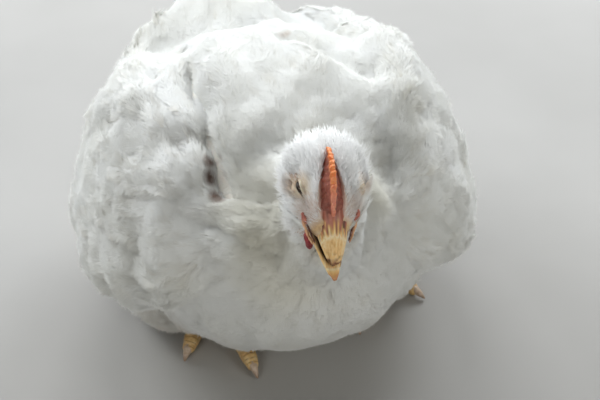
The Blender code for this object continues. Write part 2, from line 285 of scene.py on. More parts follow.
# Hollows in the loose plumage: the line that each follows, its depth, and how far it reaches to the sides.
HOLLOWS = [
    (((-0.0426, 0.0071, 0.154), (-0.0450, -0.0150, 0.1535), (-0.0395, -0.0300, 0.1540),
      (-0.0420, -0.0440, 0.1485)),
     0.0078, 0.0050),
    (((-0.0425, -0.0460, 0.1470), (-0.0402, -0.0593, 0.1424), (-0.0410, -0.0725, 0.1340)), 0.0105, 0.0036),
    (((-0.0470, -0.0850, 0.1215), (-0.0337, -0.1031, 0.1178), (-0.0212, -0.1120, 0.1149)), 0.0056, 0.0044),
    (((0.0111, 0.0156, 0.1595), (0.0323, -0.0019, 0.1582), (0.0500, -0.0200, 0.1540)), 0.0046, 0.0062),
    (((-0.0212, -0.1120, 0.1149), (-0.0195, -0.1128, 0.1190)), 0.0034, 0.0050),
    (((-0.0235, -0.1020, 0.1440), (-0.0205, -0.1120, 0.1280)), 0.0032, 0.0060),
    (((0.0270, -0.1020, 0.1360), (0.0235, -0.1080, 0.1120)), 0.0050, 0.0050),
    (((-0.0860, -0.0060, 0.1330), (-0.0760, -0.0200, 0.1440)), 0.0024, 0.0034),
    (((-0.0930, -0.0150, 0.1190), (-0.0800, -0.0360, 0.1310)), 0.0022, 0.0036),
    (((-0.0583, 0.0091, 0.1491), (-0.0610, -0.0080, 0.1515), (-0.0560, -0.0260, 0.1500)), 0.0026, 0.0034),
    (((-0.0540, -0.0800, 0.1180), (-0.0500, -0.0900, 0.0980)), 0.0022, 0.0060),
    (((0.0450, -0.0560, 0.1470), (0.0480, -0.0760, 0.1300)), 0.0024, 0.0060),
    (((0.0640, -0.0480, 0.1440), (0.0760, -0.0400, 0.1420)), 0.0020, 0.0040),
    (((0.0150, -0.0640, 0.1570), (0.0290, -0.0560, 0.1520), (0.0400, -0.0660, 0.1430),
      (0.0430, -0.0800, 0.1330)),
     0.0036, 0.0125),
]
# Lumps of loose plumage: the middle of each, how far it reaches, and how far it stands out, or in below
# zero.
PILLOWS = [
    ((-0.0625, -0.0860, 0.1000), 0.0155, 0.0062),
    ((-0.0560, -0.0440, 0.1450), 0.0090, -0.0038),
    ((-0.0380, 0.0980, 0.1180), 0.0190, 0.0095),
    ((-0.0300, 0.1170, 0.1270), 0.0130, 0.0050),
    ((-0.0490, 0.0870, 0.1150), 0.0110, 0.0070),
    ((-0.0720, 0.0860, 0.1130), 0.0170, -0.0080),
    ((-0.0230, -0.0985, 0.1390), 0.0110, -0.0040),
    ((-0.0700, -0.0100, 0.1480), 0.0085, 0.0034),
    ((-0.0845, -0.0230, 0.1340), 0.0080, 0.0032),
    ((-0.0872, 0.0130, 0.1280), 0.0100, 0.0030),
    ((-0.0530, 0.0000, 0.1500), 0.0060, 0.0022),
    ((0.0574, -0.0368, 0.1528), 0.0100, 0.0022),
    ((0.0598, -0.0779, 0.1231), 0.0110, 0.0020),
    ((-0.0330, -0.0990, 0.1250), 0.0090, 0.0010),
    ((0.0030, -0.1200, 0.1220), 0.0120, 0.0034),
    ((0.0040, -0.1190, 0.1080), 0.0150, 0.0022),
    ((-0.0360, -0.0800, 0.1380), 0.0150, -0.0060),
    ((-0.0300, -0.0660, 0.1460), 0.0120, -0.0030),
    ((0.0700, 0.0050, 0.1520), 0.0140, 0.0016),
]


def dent(gap, reach):
    """1 in the middle of a soft mark, and falling to nothing at about twice its reach."""
    return np.exp(-((gap / reach) ** 2))


def along_line(points, corners):
    """How far points are from a line through corners."""
    gap = np.full(len(points), 1.0)
    for first, second in zip(corners, corners[1:]):
        first, span = np.array(first), np.array(second) - np.array(first)
        share = np.clip((points - first) @ span / (span @ span), 0, 1)
        gap = np.minimum(gap, np.linalg.norm(points - first - share[:, None] * span, axis=1))
    return gap


# Dips of the plumage beside and behind the head, so that the head stands clear of it: line, depth and
# reach.
NECK_DIPS = [
    (((-0.0120, -0.0770, 0.1650), (-0.0210, -0.0840, 0.1570), (-0.0260, -0.0890, 0.1490)), 0.0150, 0.0135),
    (((-0.0260, -0.0890, 0.1490), (-0.0290, -0.0970, 0.1380), (-0.0265, -0.1060, 0.1270)), 0.0085, 0.0125),
    (((-0.0210, -0.0930, 0.1530), (-0.0225, -0.1050, 0.1400), (-0.0185, -0.1150, 0.1260)), 0.0080, 0.0090),
    (((0.0290, -0.0900, 0.1540), (0.0310, -0.1010, 0.1400), (0.0255, -0.1110, 0.1220)), 0.0042, 0.0085),
    (((-0.0060, -0.0790, 0.1680), (0.0120, -0.0770, 0.1660), (0.0270, -0.0820, 0.1600)), 0.0036, 0.0110),
]


def neck_dip(points):
    """How far the plumage lies in at places round the neck, with nothing on the head itself."""
    depth = 0.0
    for corners, deep, wide in NECK_DIPS:
        depth = np.maximum(depth, deep * dent(along_line(points, corners), wide))
    return depth * ease(np.linalg.norm(in_head(points), axis=1), 0.0205, 0.0260)


def relief(points):
    """How much the plumage stands out or in from its mean form."""
    flank = ease(np.abs(points[:, 0]), 0.040, 0.075)
    front = ease(-points[:, 1], 0.060, 0.095)
    height = ripple(points, 0.032, 3) * (0.0016 - 0.0006 * front)
    height += ripple(points, 0.015, 4) * (0.0004 + 0.0006 * flank - 0.0002 * front)
    for corners, depth, wide in HOLLOWS:
        height -= depth * dent(along_line(points, corners), wide)
    for centre, wide, rise in PILLOWS:
        height += rise * dent(np.linalg.norm(points - np.array(centre), axis=1), wide)
    calm = ease(np.linalg.norm(in_head(points), axis=1), 0.022, 0.032) * ease(points[:, 2], 0.004, 0.020)
    return height * calm


BRIDGE_REACH = 0.0150
BRIDGE_START = 0.046
BRIDGE_HEIGHT = 0.080
BRIDGE_SHRINK = np.array((0.45, 0.60, 0.45))


def bridged(name, nodes, reach, start):
    """The solids fused, with the clefts between them filled as loose plumage bridges them. In front of the
    start the filling shrinks into the bird, so that breast and head keep their form."""
    swollen = fused(name + "_swollen", nodes, 0.0030, reach, 12)
    points = points_of(swollen.data) - normals_of(swollen.data) * (reach - 0.0002)
    front = 1 - ease(points[:, 1], start - 0.020, start + 0.015)
    middle = np.array((0.0, start, BRIDGE_HEIGHT))
    move_points(swollen.data, middle + (points - middle) * (1 - BRIDGE_SHRINK * front[:, None]))
    plain = fused(name, nodes, 0.0020, 0.0006, 9)
    bm = bmesh.new()
    bm.from_mesh(plain.data)
    bm.from_mesh(swollen.data)
    bm.to_mesh(plain.data)
    bm.free()
    bpy.data.objects.remove(swollen)
    return relaxed(plain, 3, cell=0.0020)


# The guide is the plumage's outline, which every feather follows. It isn't part of the model.
guide = bridged("guide", FLESH + QUILL_NODES, BRIDGE_REACH, BRIDGE_START)
guide_points = points_of(guide.data)
guide_points += normals_of(guide.data) * (relief(guide_points) - neck_dip(guide_points))[:, None]
move_points(guide.data, guide_points)
guide_normals = normals_of(guide.data)
guide_faces = [tuple(face.vertices) for face in guide.data.polygons]
guide_face_normals = unit(np.array([guide_normals[list(face)].mean(axis=0) for face in guide_faces]))
guide_tree = BVHTree.FromPolygons([Vector(p) for p in guide_points], guide_faces)

skin = fused("skin", FLESH + ["eye_left", "eye_right"], 0.0018, 0.0006, 6)
for _ in range(SINKING_ROUNDS):
    points = points_of(skin.data)
    inner = in_head(points)
    reach = np.linalg.norm(inner, axis=1)
    coat = BODY_COAT + (HEAD_COAT - BODY_COAT) * (1 - ease(reach, 0.021, 0.038))
    coat += (FACE_COAT - coat) * ease(-inner[:, 1], 0.004, 0.013) * (1 - ease(reach, 0.030, 0.040))
    sunk = normals_of(skin.data) * (coat + neck_dip(points))[:, None] / SINKING_ROUNDS
    move_points(skin.data, points - sunk)
    relaxed(skin, 2, 0.4)
relaxed(skin, 3, 0.4, SKIN_CELL)

bm = bmesh.new()
bm.from_mesh(skin.data)
face_zone = [
    edge
    for edge in bm.edges
    if np.linalg.norm(in_head(np.array([v.co for v in edge.verts]).mean(axis=0)) - FACE_MIDDLE) < 0.026
]
bmesh.ops.subdivide_edges(bm, edges=face_zone, cuts=2, use_grid_fill=True, smooth=0.6)
lid_middles = [EYE * (side * 1.25, 1, 1.3) for side in (-1, 1)]
lid_zone = [
    edge
    for edge in bm.edges
    if min(np.linalg.norm(in_head(edge.verts[0].co) - middle) for middle in lid_middles) < 0.0080
]
bmesh.ops.subdivide_edges(bm, edges=lid_zone, cuts=1, use_grid_fill=True, smooth=0.3)
bmesh.ops.triangulate(bm, faces=[face for face in bm.faces if len(face.verts) > 4])
bm.to_mesh(skin.data)
bm.free()


def eye_axes(side):
    """The way that an eye's slit opens, and the slit's own line from back to front and across."""
    outward = unit(np.array((0.46 * side, -0.06, 0.89) if side < 0 else (0.90, -0.02, 0.40)))
    along = np.array((-0.38 * side, -0.79, -0.49))
    along = unit(along - outward * (along @ outward))
    over = np.cross(outward, along)
    return outward, along, over if over[2] > 0 else -over


BED_PLACES = (-0.0280, -0.0230, -0.0180, -0.0110, -0.0030, 0.0030, 0.0070)
BED_WIDTHS = (0.0010, 0.0052, 0.0061, 0.0053, 0.0034, 0.0016, 0.0006)


def comb_side(y):
    """Half the width of the bare skin that the comb stands in, at places along the head."""
    return np.interp(y, BED_PLACES, BED_WIDTHS)


def close_lids(made, side):
    """One eye's lids, as a shell round its ball that is open along a slit, with folds and a brow over
    them."""
    eye = EYE * (side, 1, 1)
    outward, along, over = eye_axes(side)
    away = made - eye
    reach = np.maximum(np.linalg.norm(away, axis=1), 1e-9)
    facing = away @ outward / reach
    a = np.arctan2(away @ along, away @ outward)
    b = np.arctan2(away @ over, away @ outward)
    spot = np.sqrt((a / 1.20) ** 2 + (b / 0.80) ** 2)
    lid = ease(facing, -0.10, 0.12) * (1 - ease(reach, 0.0150, 0.0180)) * (1 - ease(spot, 0.80, 1.75))
    line = b + 0.04 - 0.09 * (a / 0.95) ** 2
    slit = 0.190 * np.clip(1 - ((a + 0.04) / 1.22) ** 2, 0, 1) ** 0.55
    gap = np.abs(line) - slit
    opened = (1 - ease(gap, -0.05, 0.05)) * (1 - ease(np.abs(a + 0.04), 1.15, 1.35))
    margin = dent(gap - 0.12, 0.08) * (1 - ease(np.abs(a), 1.0, 1.4))
    fold = dent(line - 0.56, 0.06) + 0.8 * dent(line + 0.50, 0.06) + 0.5 * dent(line + 0.78, 0.06)
    target = EYE_RADIUS * (1.15 + 0.030 * margin - 0.036 * fold - 0.36 * opened)
    placed = eye + away / reach[:, None] * target[:, None]
    made = made + (placed - made) * lid[:, None]
    away = made - eye
    reach = np.maximum(np.linalg.norm(away, axis=1), 1e-9)
    sunk = (reach < EYE_RADIUS * 1.04) & (opened * lid < 0.03) & (facing > -0.5)
    made = np.where(sunk[:, None], eye + away / reach[:, None] * EYE_RADIUS * 1.04, made)
    brow = dent(b - 1.15, 0.30) * (1 - ease(np.abs(a), 0.7, 1.5)) * (facing > -0.3)
    return made + outward * (brow * 0.0010)[:, None]


def sculpt_face(points):
    """Lids over each eye, the bed that the comb stands in, hollow lores and fine folds, in head axes."""
    made = close_lids(close_lids(points, -1), 1)
    aside = np.abs(made[:, 0])
    bed = comb_side(made[:, 1]) * (made[:, 2] > 0)
    ends = ease(-made[:, 1], -0.0075, 0.0) * (1 - ease(-made[:, 1], 0.0240, 0.0290))
    along_bed = ends * (made[:, 2] > 0.002)
    made[:, 2] += along_bed * 0.0011 * dent(aside - bed - 0.0006, 0.0009)
    made[:, 2] -= along_bed * 0.0007 * (1 - ease(aside, bed * 0.7, bed))
    lore = made - np.sign(made[:, :1]) * (0.0125, 0, 0) - (0, -0.0175, 0.0060)
    made -= unit(made) * (dent(np.linalg.norm(lore, axis=1), 0.0048) * 0.0007)[:, None]
    creases = ripple(made, 0.0034, 21) * 0.6 + ripple(made, 0.0018, 22) * 0.4
    bare = 1 - ease(np.linalg.norm(made - (0, -0.012, 0.002), axis=1), 0.018, 0.026)
    made += unit(made) * (creases * bare * 0.00016)[:, None]
    return made


points = points_of(skin.data)
inner = in_head(points)
zone = np.linalg.norm(inner - FACE_MIDDLE, axis=1) < 0.027
inner[zone] = sculpt_face(inner[zone])
points[zone] = from_head(inner[zone])
points[:, 2] = np.maximum(points[:, 2], 0.0012)
move_points(skin.data, points)
skin.data.shade_smooth()

bpy.context.view_layer.objects.active = skin
skin.select_set(True)
bpy.ops.object.mode_set(mode="EDIT")
bpy.ops.mesh.select_all(action="SELECT")
bpy.ops.uv.smart_project(angle_limit=math.radians(66), island_margin=0.002)
bpy.ops.object.mode_set(mode="OBJECT")
skin.select_set(False)
skin.data.uv_layers[0].name = "OFBake"


def add_tone(mesh, tones):
    """Three shares at each vertex, which the finish reads as red, green and blue."""
    values = np.ones((len(tones), 4))
    values[:, :3] = tones
    mesh.color_attributes.new("Tone", "FLOAT_COLOR", "POINT").data.foreach_set("color", values.ravel())


# Tone on the skin: red where comb and mouth flush it, green for the cere, blue where white down hides it.
MOUTH_CORNER = np.array((0.0128, -0.0205, 0.0020))
inner = in_head(points_of(skin.data))
aside = np.abs(inner[:, 0])
bed = comb_side(inner[:, 1])
in_bed = (1 - ease(aside, bed * 0.75, bed * 1.12)) * (inner[:, 2] > 0.003)
comb_red = in_bed * (1 - ease(inner[:, 1], 0.004, 0.010))
mouth = np.minimum(*(np.linalg.norm(inner - MOUTH_CORNER * (side, 1, 1), axis=1) for side in (-1, 1)))
flushed = np.maximum(comb_red, 1 - ease(mouth, 0.0014, 0.0042))
cere_yellow = ease(-inner[:, 1], 0.0222, 0.0262) * (inner[:, 2] > -0.004)
down_white = ease(np.linalg.norm(inner, axis=1), 0.025, 0.034)
add_tone(skin.data, np.stack([flushed, cere_yellow, down_white], axis=-1))

# Stains that lie on both skin and feathers: centre, radius, colour and strength. Those on the head are in its
# axes. The three darkest, along the cleft between the right wing and the breast, are painted shade of that
# cleft with some brown soiling.
BEIGE = (0.72, 0.60, 0.54)
PALE_BEIGE = (0.74, 0.65, 0.59)
BROWN = (0.50, 0.33, 0.20)
DRIED_RED = (0.34, 0.12, 0.08)
CLEFT_SHADE_BROWN = (0.16, 0.07, 0.035)
HEAD_MARKS = [
    ((-0.0140, -0.0078, 0.0103), 0.0060, (0.70, 0.60, 0.47), 1.90),
    ((-0.0112, -0.0178, 0.0085), 0.0058, BEIGE, 1.00),
    ((0.0112, -0.0178, 0.0085), 0.0058, BEIGE, 1.00),
    ((-0.0135, -0.0170, 0.0050), 0.0060, PALE_BEIGE, 0.80),
    ((0.0135, -0.0170, 0.0050), 0.0060, PALE_BEIGE, 0.80),
    ((0.0165, -0.0080, 0.0080), 0.0050, (0.68, 0.58, 0.45), 1.20),
    ((-0.0172, -0.0045, 0.0060), 0.0050, BROWN, 0.80),
    ((0.0185, -0.0050, 0.0040), 0.0046, BROWN, 0.60),
    ((-0.0128, -0.0208, 0.0010), 0.0026, DRIED_RED, 0.60),
    ((0.0128, -0.0208, 0.0010), 0.0026, DRIED_RED, 0.60),
]
BODY_MARKS = [
    # Painted shade with some brown soiling: near-black brown along the cleft between the right wing and the
    # breast.
    ((-0.0402, -0.0560, 0.1400), 0.0040, CLEFT_SHADE_BROWN, 1.60),
    ((-0.0405, -0.0640, 0.1365), 0.0048, (0.12, 0.05, 0.025), 2.40),
    ((-0.0408, -0.0720, 0.1320), 0.0044, CLEFT_SHADE_BROWN, 1.80),
    ((0.0125, 0.0200, 0.1590), 0.0034, (0.34, 0.20, 0.11), 0.90),
    ((-0.0640, -0.0520, 0.1370), 0.0015, (0.40, 0.22, 0.16), 0.70),
    ((-0.0620, -0.0700, 0.0150), 0.0200, (0.55, 0.43, 0.31), 0.35),
]
MARKS = [(tuple(from_head(centre)), *rest) for centre, *rest in HEAD_MARKS] + BODY_MARKS

# Broad zones beside and behind the neck with painted shade: the plumage is darkened where the hollows round
# the head lie in shade, and a little yellowed. Centre, radius, colour, strength.
NECK_SHADE_AND_YELLOWING = [
    ((-0.0330, -0.0860, 0.1450), 0.0270, (0.66, 0.635, 0.54), 0.85),
    ((-0.0290, -0.1060, 0.1250), 0.0180, (0.72, 0.69, 0.58), 0.80),
    ((-0.0240, -0.0950, 0.1390), 0.0180, (0.56, 0.54, 0.46), 0.80),
    ((0.0380, -0.0900, 0.1400), 0.0230, (0.78, 0.76, 0.67), 0.75),
    ((0.0130, -0.0640, 0.1660), 0.0200, (0.74, 0.72, 0.63), 0.70),
    ((-0.0150, -0.1000, 0.1050), 0.0300, (0.88, 0.86, 0.77), 0.70),
]


def mixed(tree, factor, first, second, blend="MIX"):
    """Two colours mixed. Colours given as three numbers are fixed."""
    made = tree.nodes.new("ShaderNodeMix")
    made.data_type = "RGBA"
    made.blend_type = blend
    for socket, value in ((made.inputs["Factor"], factor), (made.inputs[6], first), (made.inputs[7], second)):
        if isinstance(value, bpy.types.NodeSocket):
            tree.links.new(value, socket)
        elif isinstance(value, tuple):
            socket.default_value = (*value, 1.0)
        else:
            socket.default_value = value
    return made.outputs[2]


def stretch(tree, value, low, high, to_low=0.0, to_high=1.0):
    """A value's range moved to another one, and held there."""
    made = add_node(tree, "ShaderNodeMapRange", Value=value)
    for key, number in (("From Min", low), ("From Max", high), ("To Min", to_low), ("To Max", to_high)):
        made.inputs[key].default_value = number
    return made.outputs["Result"]


def bumped(tree, shader, height, distance, strength=1.0):
    """Fine relief in the finish, from a height of 0 to 1 over that distance."""
    bump = add_node(tree, "ShaderNodeBump", Height=height, Distance=distance, Strength=strength)
    tree.links.new(bump.outputs["Normal"], shader.inputs["Normal"])


def reckon(tree, operation, *values, clamp=False):
    """The result of a Math node."""
    given = {f"at{number}": value for number, value in enumerate(values)}
    made = add_node(tree, "ShaderNodeMath", {"operation": operation, "use_clamp": clamp}, **given)
    return made.outputs["Value"]


def tone_shares(tree):
    """The three shares that add_tone gave the piece."""
    tones = add_node(tree, "ShaderNodeAttribute", {"attribute_name": "Tone"}).outputs["Color"]
    return add_node(tree, "ShaderNodeSeparateColor", Color=tones).outputs


def gap_from(tree, place, centre):
    """How far a place is from a centre."""
    made = add_node(tree, "ShaderNodeVectorMath", {"operation": "DISTANCE"}, at0=place, at1=centre)
    return made.outputs["Value"]


def marked(tree, place, colour):
    """A colour with painted shade and some yellowing beside the neck, the bird's stains, painted shade with
    some brown soiling in the cleft between right wing and breast, and the dust that a bird which rests on
    soil has on its underside."""
    # Painted shade, with some yellowing, in broad zones beside and behind the neck.
    for centre, radius, tint, strength in NECK_SHADE_AND_YELLOWING:
        near = stretch(tree, gap_from(tree, place, centre), radius, radius * 0.45, 0.0, strength)
        colour = mixed(tree, near, colour, tint)
    patchy = noise(tree, place, 320.0, 4.0, 0.7)
    for centre, radius, tint, strength in MARKS:
        near = stretch(tree, gap_from(tree, place, centre), radius * 1.35, radius * 0.3, 0.0, strength * 1.5)
        colour = mixed(tree, reckon(tree, "MULTIPLY", near, patchy, clamp=True), colour, tint)
    height = add_node(tree, "ShaderNodeSeparateXYZ", Vector=place).outputs["Z"]
    low = stretch(tree, height, 0.062, 0.004, 0.0, 0.62)
    dusty = stretch(tree, noise(tree, place, 60.0, 4.0, 0.65), 0.35, 0.70)
    return mixed(tree, reckon(tree, "MULTIPLY", low, dusty, clamp=True), colour, (0.60, 0.50, 0.40))


skin_finish, tree, shader, place = new_finish(
    "chicken_skin", 0.5, Subsurface_Weight=0.22, Subsurface_Radius=(0.0022, 0.0012, 0.0008),
    Subsurface_Scale=1.0
)
flush = ramp(
    tree, noise(tree, place, 230.0, 5.0, 0.65),
    (0.30, (0.56, 0.42, 0.35)), (0.50, (0.72, 0.61, 0.53)), (0.72, (0.82, 0.75, 0.68)),
)
tones = tone_shares(tree)
red = ramp(tree, noise(tree, place, 420.0, 4.0, 0.6), (0.3, (0.34, 0.11, 0.08)), (0.7, (0.56, 0.25, 0.18)))
yellow = ramp(tree, noise(tree, place, 500.0, 4.0, 0.6), (0.3, (0.50, 0.27, 0.09)), (0.7, (0.78, 0.52, 0.22)))
flush = mixed(tree, tones["Red"], flush, red)
flush = mixed(tree, tones["Green"], flush, yellow)
flush = mixed(tree, tones["Blue"], flush, (0.84, 0.80, 0.74))
tree.links.new(marked(tree, place, flush), shader.inputs["Base Color"])
pimples = add_node(tree, "ShaderNodeTexVoronoi", Vector=place, Scale=1100.0).outputs["Distance"]
bumped(tree, shader, pimples, 0.0003, 0.5)
skin.data.materials.clear()
skin.data.materials.append(skin_finish)
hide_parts(*FLESH)
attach(skin, "root")

# ----------------------------------------------------------------------------------------------------------
# Plumage. Small loose contour feathers, each a row of soft barbs on either side of its shaft. They root in
# the skin, lie over one another from the face to the tail, and reach out to the body's outline with their
# tips.

FACE_FRONT = from_head((0.0, -0.030, 0.002))


def lie(points):
    """The way that the feathers point: out from the face, then back along the body, and a little down its
    sides."""
    away = points - FACE_FRONT
    reach = np.linalg.norm(away, axis=-1, keepdims=True)
    flank = ease(np.abs(points[..., :1]), 0.045, 0.085)
    back = np.concatenate([0 * flank, 1 + 0 * flank, -0.10 - 0.30 * flank], axis=-1)
    share = ease(reach, 0.085, 0.190)
    return unit(away) * (1 - share) + unit(back) * share


def on_guide(points):
    """The nearest places on the outline, and its smooth normals there."""
    places, normals = np.empty_like(points), np.empty_like(points)
    for i, point in enumerate(points):
        place, _, index, _ = guide_tree.find_nearest(Vector(point))
        places[i] = place
        normals[i] = guide_face_normals[index]
    return places, normals


def along_surface(vectors, normals):
    return unit(vectors - normals * (vectors * normals).sum(axis=-1, keepdims=True))


def feather_lines(roots, turns, lengths, steps=7):
    """For each feather the places along the outline that its shaft passes over, and the normals there."""
    place, normal = on_guide(roots)
    places, normals = [place], [normal]
    heading = None
    for _ in range(steps):
        flow = along_surface(lie(place), normal)
        flow = flow * np.cos(turns)[:, None] + np.cross(normal, flow) * np.sin(turns)[:, None]
        heading = flow if heading is None else along_surface(heading * 0.55 + flow * 0.45, normal)
        place, normal = on_guide(place + heading * (lengths / steps)[:, None])
        places.append(place)
        normals.append(normal)
    return np.stack(places, axis=1), np.stack(normals, axis=1)


def set_on_lines(places, normals, t, aside, above):
    """World points and surface normals, from shares along each feather's line and distances aside and above
    it."""
    last = places.shape[1] - 2
    at = np.clip(t, 0.0, 1.15) * (last + 1)
    low = np.clip(at.astype(int), 0, last)
    share = (at - low)[..., None]
    rows = np.arange(len(places))[:, None]
    first, second = places[rows, low], places[rows, low + 1]
    over = unit(normals[rows, low] * (1 - share) + normals[rows, low + 1] * share)
    side = unit(np.cross(second - first, over))
    return first + (second - first) * share + side * aside[..., None] + over * above[..., None], over


PATCH_SIZE = 0.003
skin_tree = BVHTree.FromObject(skin, bpy.context.evaluated_depsgraph_get())
skin_loops = np.empty(len(skin.data.loops) * 2, np.float32)
skin.data.uv_layers["OFBake"].data.foreach_get("uv", skin_loops)
skin_loops = skin_loops.reshape(-1, 2)


def skin_map(points):
    """Where points fall on the skin's own unwrap."""
    found = np.empty((len(points), 2))
    for i, point in enumerate(points):
        index = skin_tree.find_nearest(Vector(point))[2]
        face = skin.data.polygons[index]
        found[i] = skin_loops[face.loop_start : face.loop_start + face.loop_total].mean(axis=0)
    return found


def add_maps(obj, root_map, per_feather, across, along):
    """OFBake: each feather a tiny patch at its root's place on the skin's unwrap. Vane: across and along
    it."""
    mesh = obj.data
    corners = np.empty(len(mesh.loops), np.int32)
    mesh.loops.foreach_get("vertex_index", corners)
    local = np.stack([across.ravel(), along.ravel()], axis=-1)
    patch = np.repeat(root_map, per_feather, axis=0) + (local - 0.5) * PATCH_SIZE
    for name, values in (("OFBake", patch), ("Vane", local)):
        layer = mesh.uv_layers.new(name=name)
        layer.data.foreach_set("uv", values[corners].astype(np.float32).ravel())


def faced(points, faces, over):
    """Faces turned where needed, so that each looks the way that the coat does there."""
    corners = points[faces]
    away = np.cross(corners[:, 1] - corners[:, 0], corners[:, 2] - corners[:, 0])
    turned = (away * over[faces[:, 0]]).sum(axis=1) < 0
    return np.where(turned[:, None], faces[:, ::-1], faces)


def soften(obj, over, soft):
    """Shading normals part way from each feather's own to the coat's, as loose down scatters light. The
    fine white down of head and throat passes light on most, so its normals lean up to the sky."""
    reach = np.linalg.norm(in_head(points_of(obj.data)), axis=1, keepdims=True)
    over = unit(over + 0.55 * (1 - ease(reach, 0.027, 0.043)) * np.array((0.0, 0.30, 0.95)))
    own = normals_of(obj.data)
    own *= np.where((own * over).sum(axis=1, keepdims=True) < 0, -1, 1)
    obj.data.normals_split_custom_set_from_vertices(unit(over * soft + own * (1 - soft)))


def add_coat(name, world, pattern, over, finish, soft, root_map, across, along):
    """One piece of plumage: the points of each feather, the faces of one, and its shares across and
    along."""
    count, per_feather = world.shape[:2]
    points, over = world.reshape(-1, 3), over.reshape(-1, 3)
    faces = (np.array(pattern)[None] + (np.arange(count) * per_feather)[:, None, None]).reshape(-1, 3)
    obj = add_piece(name, points, faced(points, faces, over), finish)
    soften(obj, over, soft)
    add_maps(obj, root_map, per_feather, across, along)
    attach(obj, "root")
    return obj


VANE_ROWS = np.array((0.06, 0.26, 0.46, 0.64, 0.80, 0.92))
VANE_WIDE = np.array((0.18, 0.50, 0.62, 0.62, 0.50, 0.24))
MAP_WIDTH = 2.6


def lay_feathers(name, roots, length, width, depth, barbs, lift, seed, wander=0.16, camber=5.0, reach=0.30,
                 ragged=0.12, barb_wide=0.0007, fluff=0.00035, soft=0.76, full_vane=1.0):
    """Feathers as one mesh: each a thin vane in two halves with a fringe of fine barbs round it. Length,
    width, depth and lift are one value for each feather, or one for all."""
    rng = np.random.default_rng(seed)
    count = len(roots)
    sizes = (length, width, depth, lift)
    length, width, depth, lift = (np.broadcast_to(np.asarray(size, float), (count,)) for size in sizes)
    length = length * rng.uniform(0.86, 1.14, count)
    turns = ripple(roots, 0.045, 5) * 0.26 + rng.normal(0, wander, count)
    lines = feather_lines(roots, turns, length)
    half = width[:, None] / 2

    rows = len(VANE_ROWS)
    vane_t = np.broadcast_to(np.repeat(VANE_ROWS, 3), (count, rows * 3))
    vane_aside = half * full_vane * np.outer(VANE_WIDE, (-1, 0, 1)).ravel()
    vane_above = np.broadcast_to(np.tile((0.0, 0.00012, 0.0), rows), (count, rows * 3))

    order = (np.arange(barbs) + rng.random((count, 2, barbs))) / barbs
    outer = rng.random(order.shape) < 0.62
    foot_t = 0.10 + 0.84 * order
    foot_wide = np.where(outer, rng.uniform(0.20, 0.60, order.shape), rng.uniform(0.0, 0.35, order.shape))
    end_t = foot_t + reach * rng.uniform(0.7, 1.25, order.shape) * (1 - 0.40 * order)
    full = np.sqrt(np.clip(1 - ((foot_t - 0.50) / 0.54) ** 2, 0.02, 1))
    end_full = np.sqrt(np.clip(1 - ((end_t - 0.58) / 0.56) ** 2, 0.0, 1))
    inner_end = foot_wide + rng.uniform(0.02, 0.28, order.shape)
    end_wide = np.where(outer, rng.uniform(1 - 2.4 * ragged, 1 + ragged, order.shape), inner_end)
    slim = (barb_wide / 2) / length[:, None, None]
    turned = 0.55 * slim * length[:, None, None]
    side = np.array((-1.0, 1.0))[None, :, None]
    half_by = half[..., None]
    barb_t = np.stack([foot_t - slim * 0.8, foot_t + slim * 0.8, end_t], axis=-1)
    foot_aside = half_by * foot_wide * full
    barb_aside = np.stack([foot_aside + turned, foot_aside - turned, half_by * end_wide * end_full], axis=-1)
    barb_aside = barb_aside * side[..., None]
    low = rng.uniform(0.00002, 0.00022, order.shape)
    high = 0.00022 + np.abs(rng.normal(0, fluff, order.shape))
    barb_above = np.stack([low, low, high], axis=-1)
    t = np.concatenate([vane_t, barb_t.reshape(count, -1)], axis=1)
    aside = np.concatenate([vane_aside, barb_aside.reshape(count, -1)], axis=1)
    above = np.concatenate([vane_above, barb_above.reshape(count, -1)], axis=1)
    tip_rise = lift[:, None] * np.clip(t, 0, 1.15) ** 3 * rng.uniform(0.2, 1.5, (count, 1))
    sunk = depth[:, None] * np.clip(1 - t, 0, 1) ** 1.2 + 0.0045 * np.clip(1 - t / 0.22, 0, 1)
    above = above + tip_rise - sunk + rng.uniform(-0.0004, 0.0002, (count, 1)) - camber * aside**2
    world, over = set_on_lines(*lines, t, aside, above)
    world[..., 2] = np.maximum(world[..., 2], 0.0003 + 0.0004 * rng.random(world.shape[:2]))

    faces = []
    for row in range(rows - 1):
        for column in (0, 1):
            a = row * 3 + column
            faces += [(a, a + 1, a + 4), (a, a + 4, a + 3)]
    for which in (0, 1):
        for barb in range(barbs):
            start = rows * 3 + (which * barbs + barb) * 3
            faces.append((start, start + 1, start + 2) if which == 0 else (start + 1, start, start + 2))
    across = np.clip(0.5 + aside / (MAP_WIDTH * half), 0, 1)
    add_coat(name, world, faces, over, feather_finish, soft, skin_map(roots), across, np.clip(t, 0, 1))


def scatter(points, faces, spacing, seed, tries):
    """Roots spread over a surface no closer than the spacing there, with the spacing of each."""
    rng = np.random.default_rng(seed)
    corners = points[np.array([face[:3] for face in faces])]
    area = np.linalg.norm(np.cross(corners[:, 1] - corners[:, 0], corners[:, 2] - corners[:, 0]), axis=1)
    chosen = rng.choice(len(corners), tries, p=area / area.sum())
    blend = rng.dirichlet((1, 1, 1), tries)
    spots = (corners[chosen] * blend[..., None]).sum(axis=1)
    room = spacing(spots)
    spots, room = spots[room > 0], room[room > 0]
    grid, kept = {}, []
    keys = np.floor(spots / room.max()).astype(int)
    for i, (key, gap) in enumerate(zip(map(tuple, keys), room)):
        near = [
            j
            for dx in (-1, 0, 1)
            for dy in (-1, 0, 1)
            for dz in (-1, 0, 1)
            for j in grid.get((key[0] + dx, key[1] + dy, key[2] + dz), ())
        ]
        if not near or ((spots[near] - spots[i]) ** 2).sum(axis=1).min() > gap * gap:
            grid.setdefault(key, []).append(i)
            kept.append(i)
    return spots[kept], room[kept]


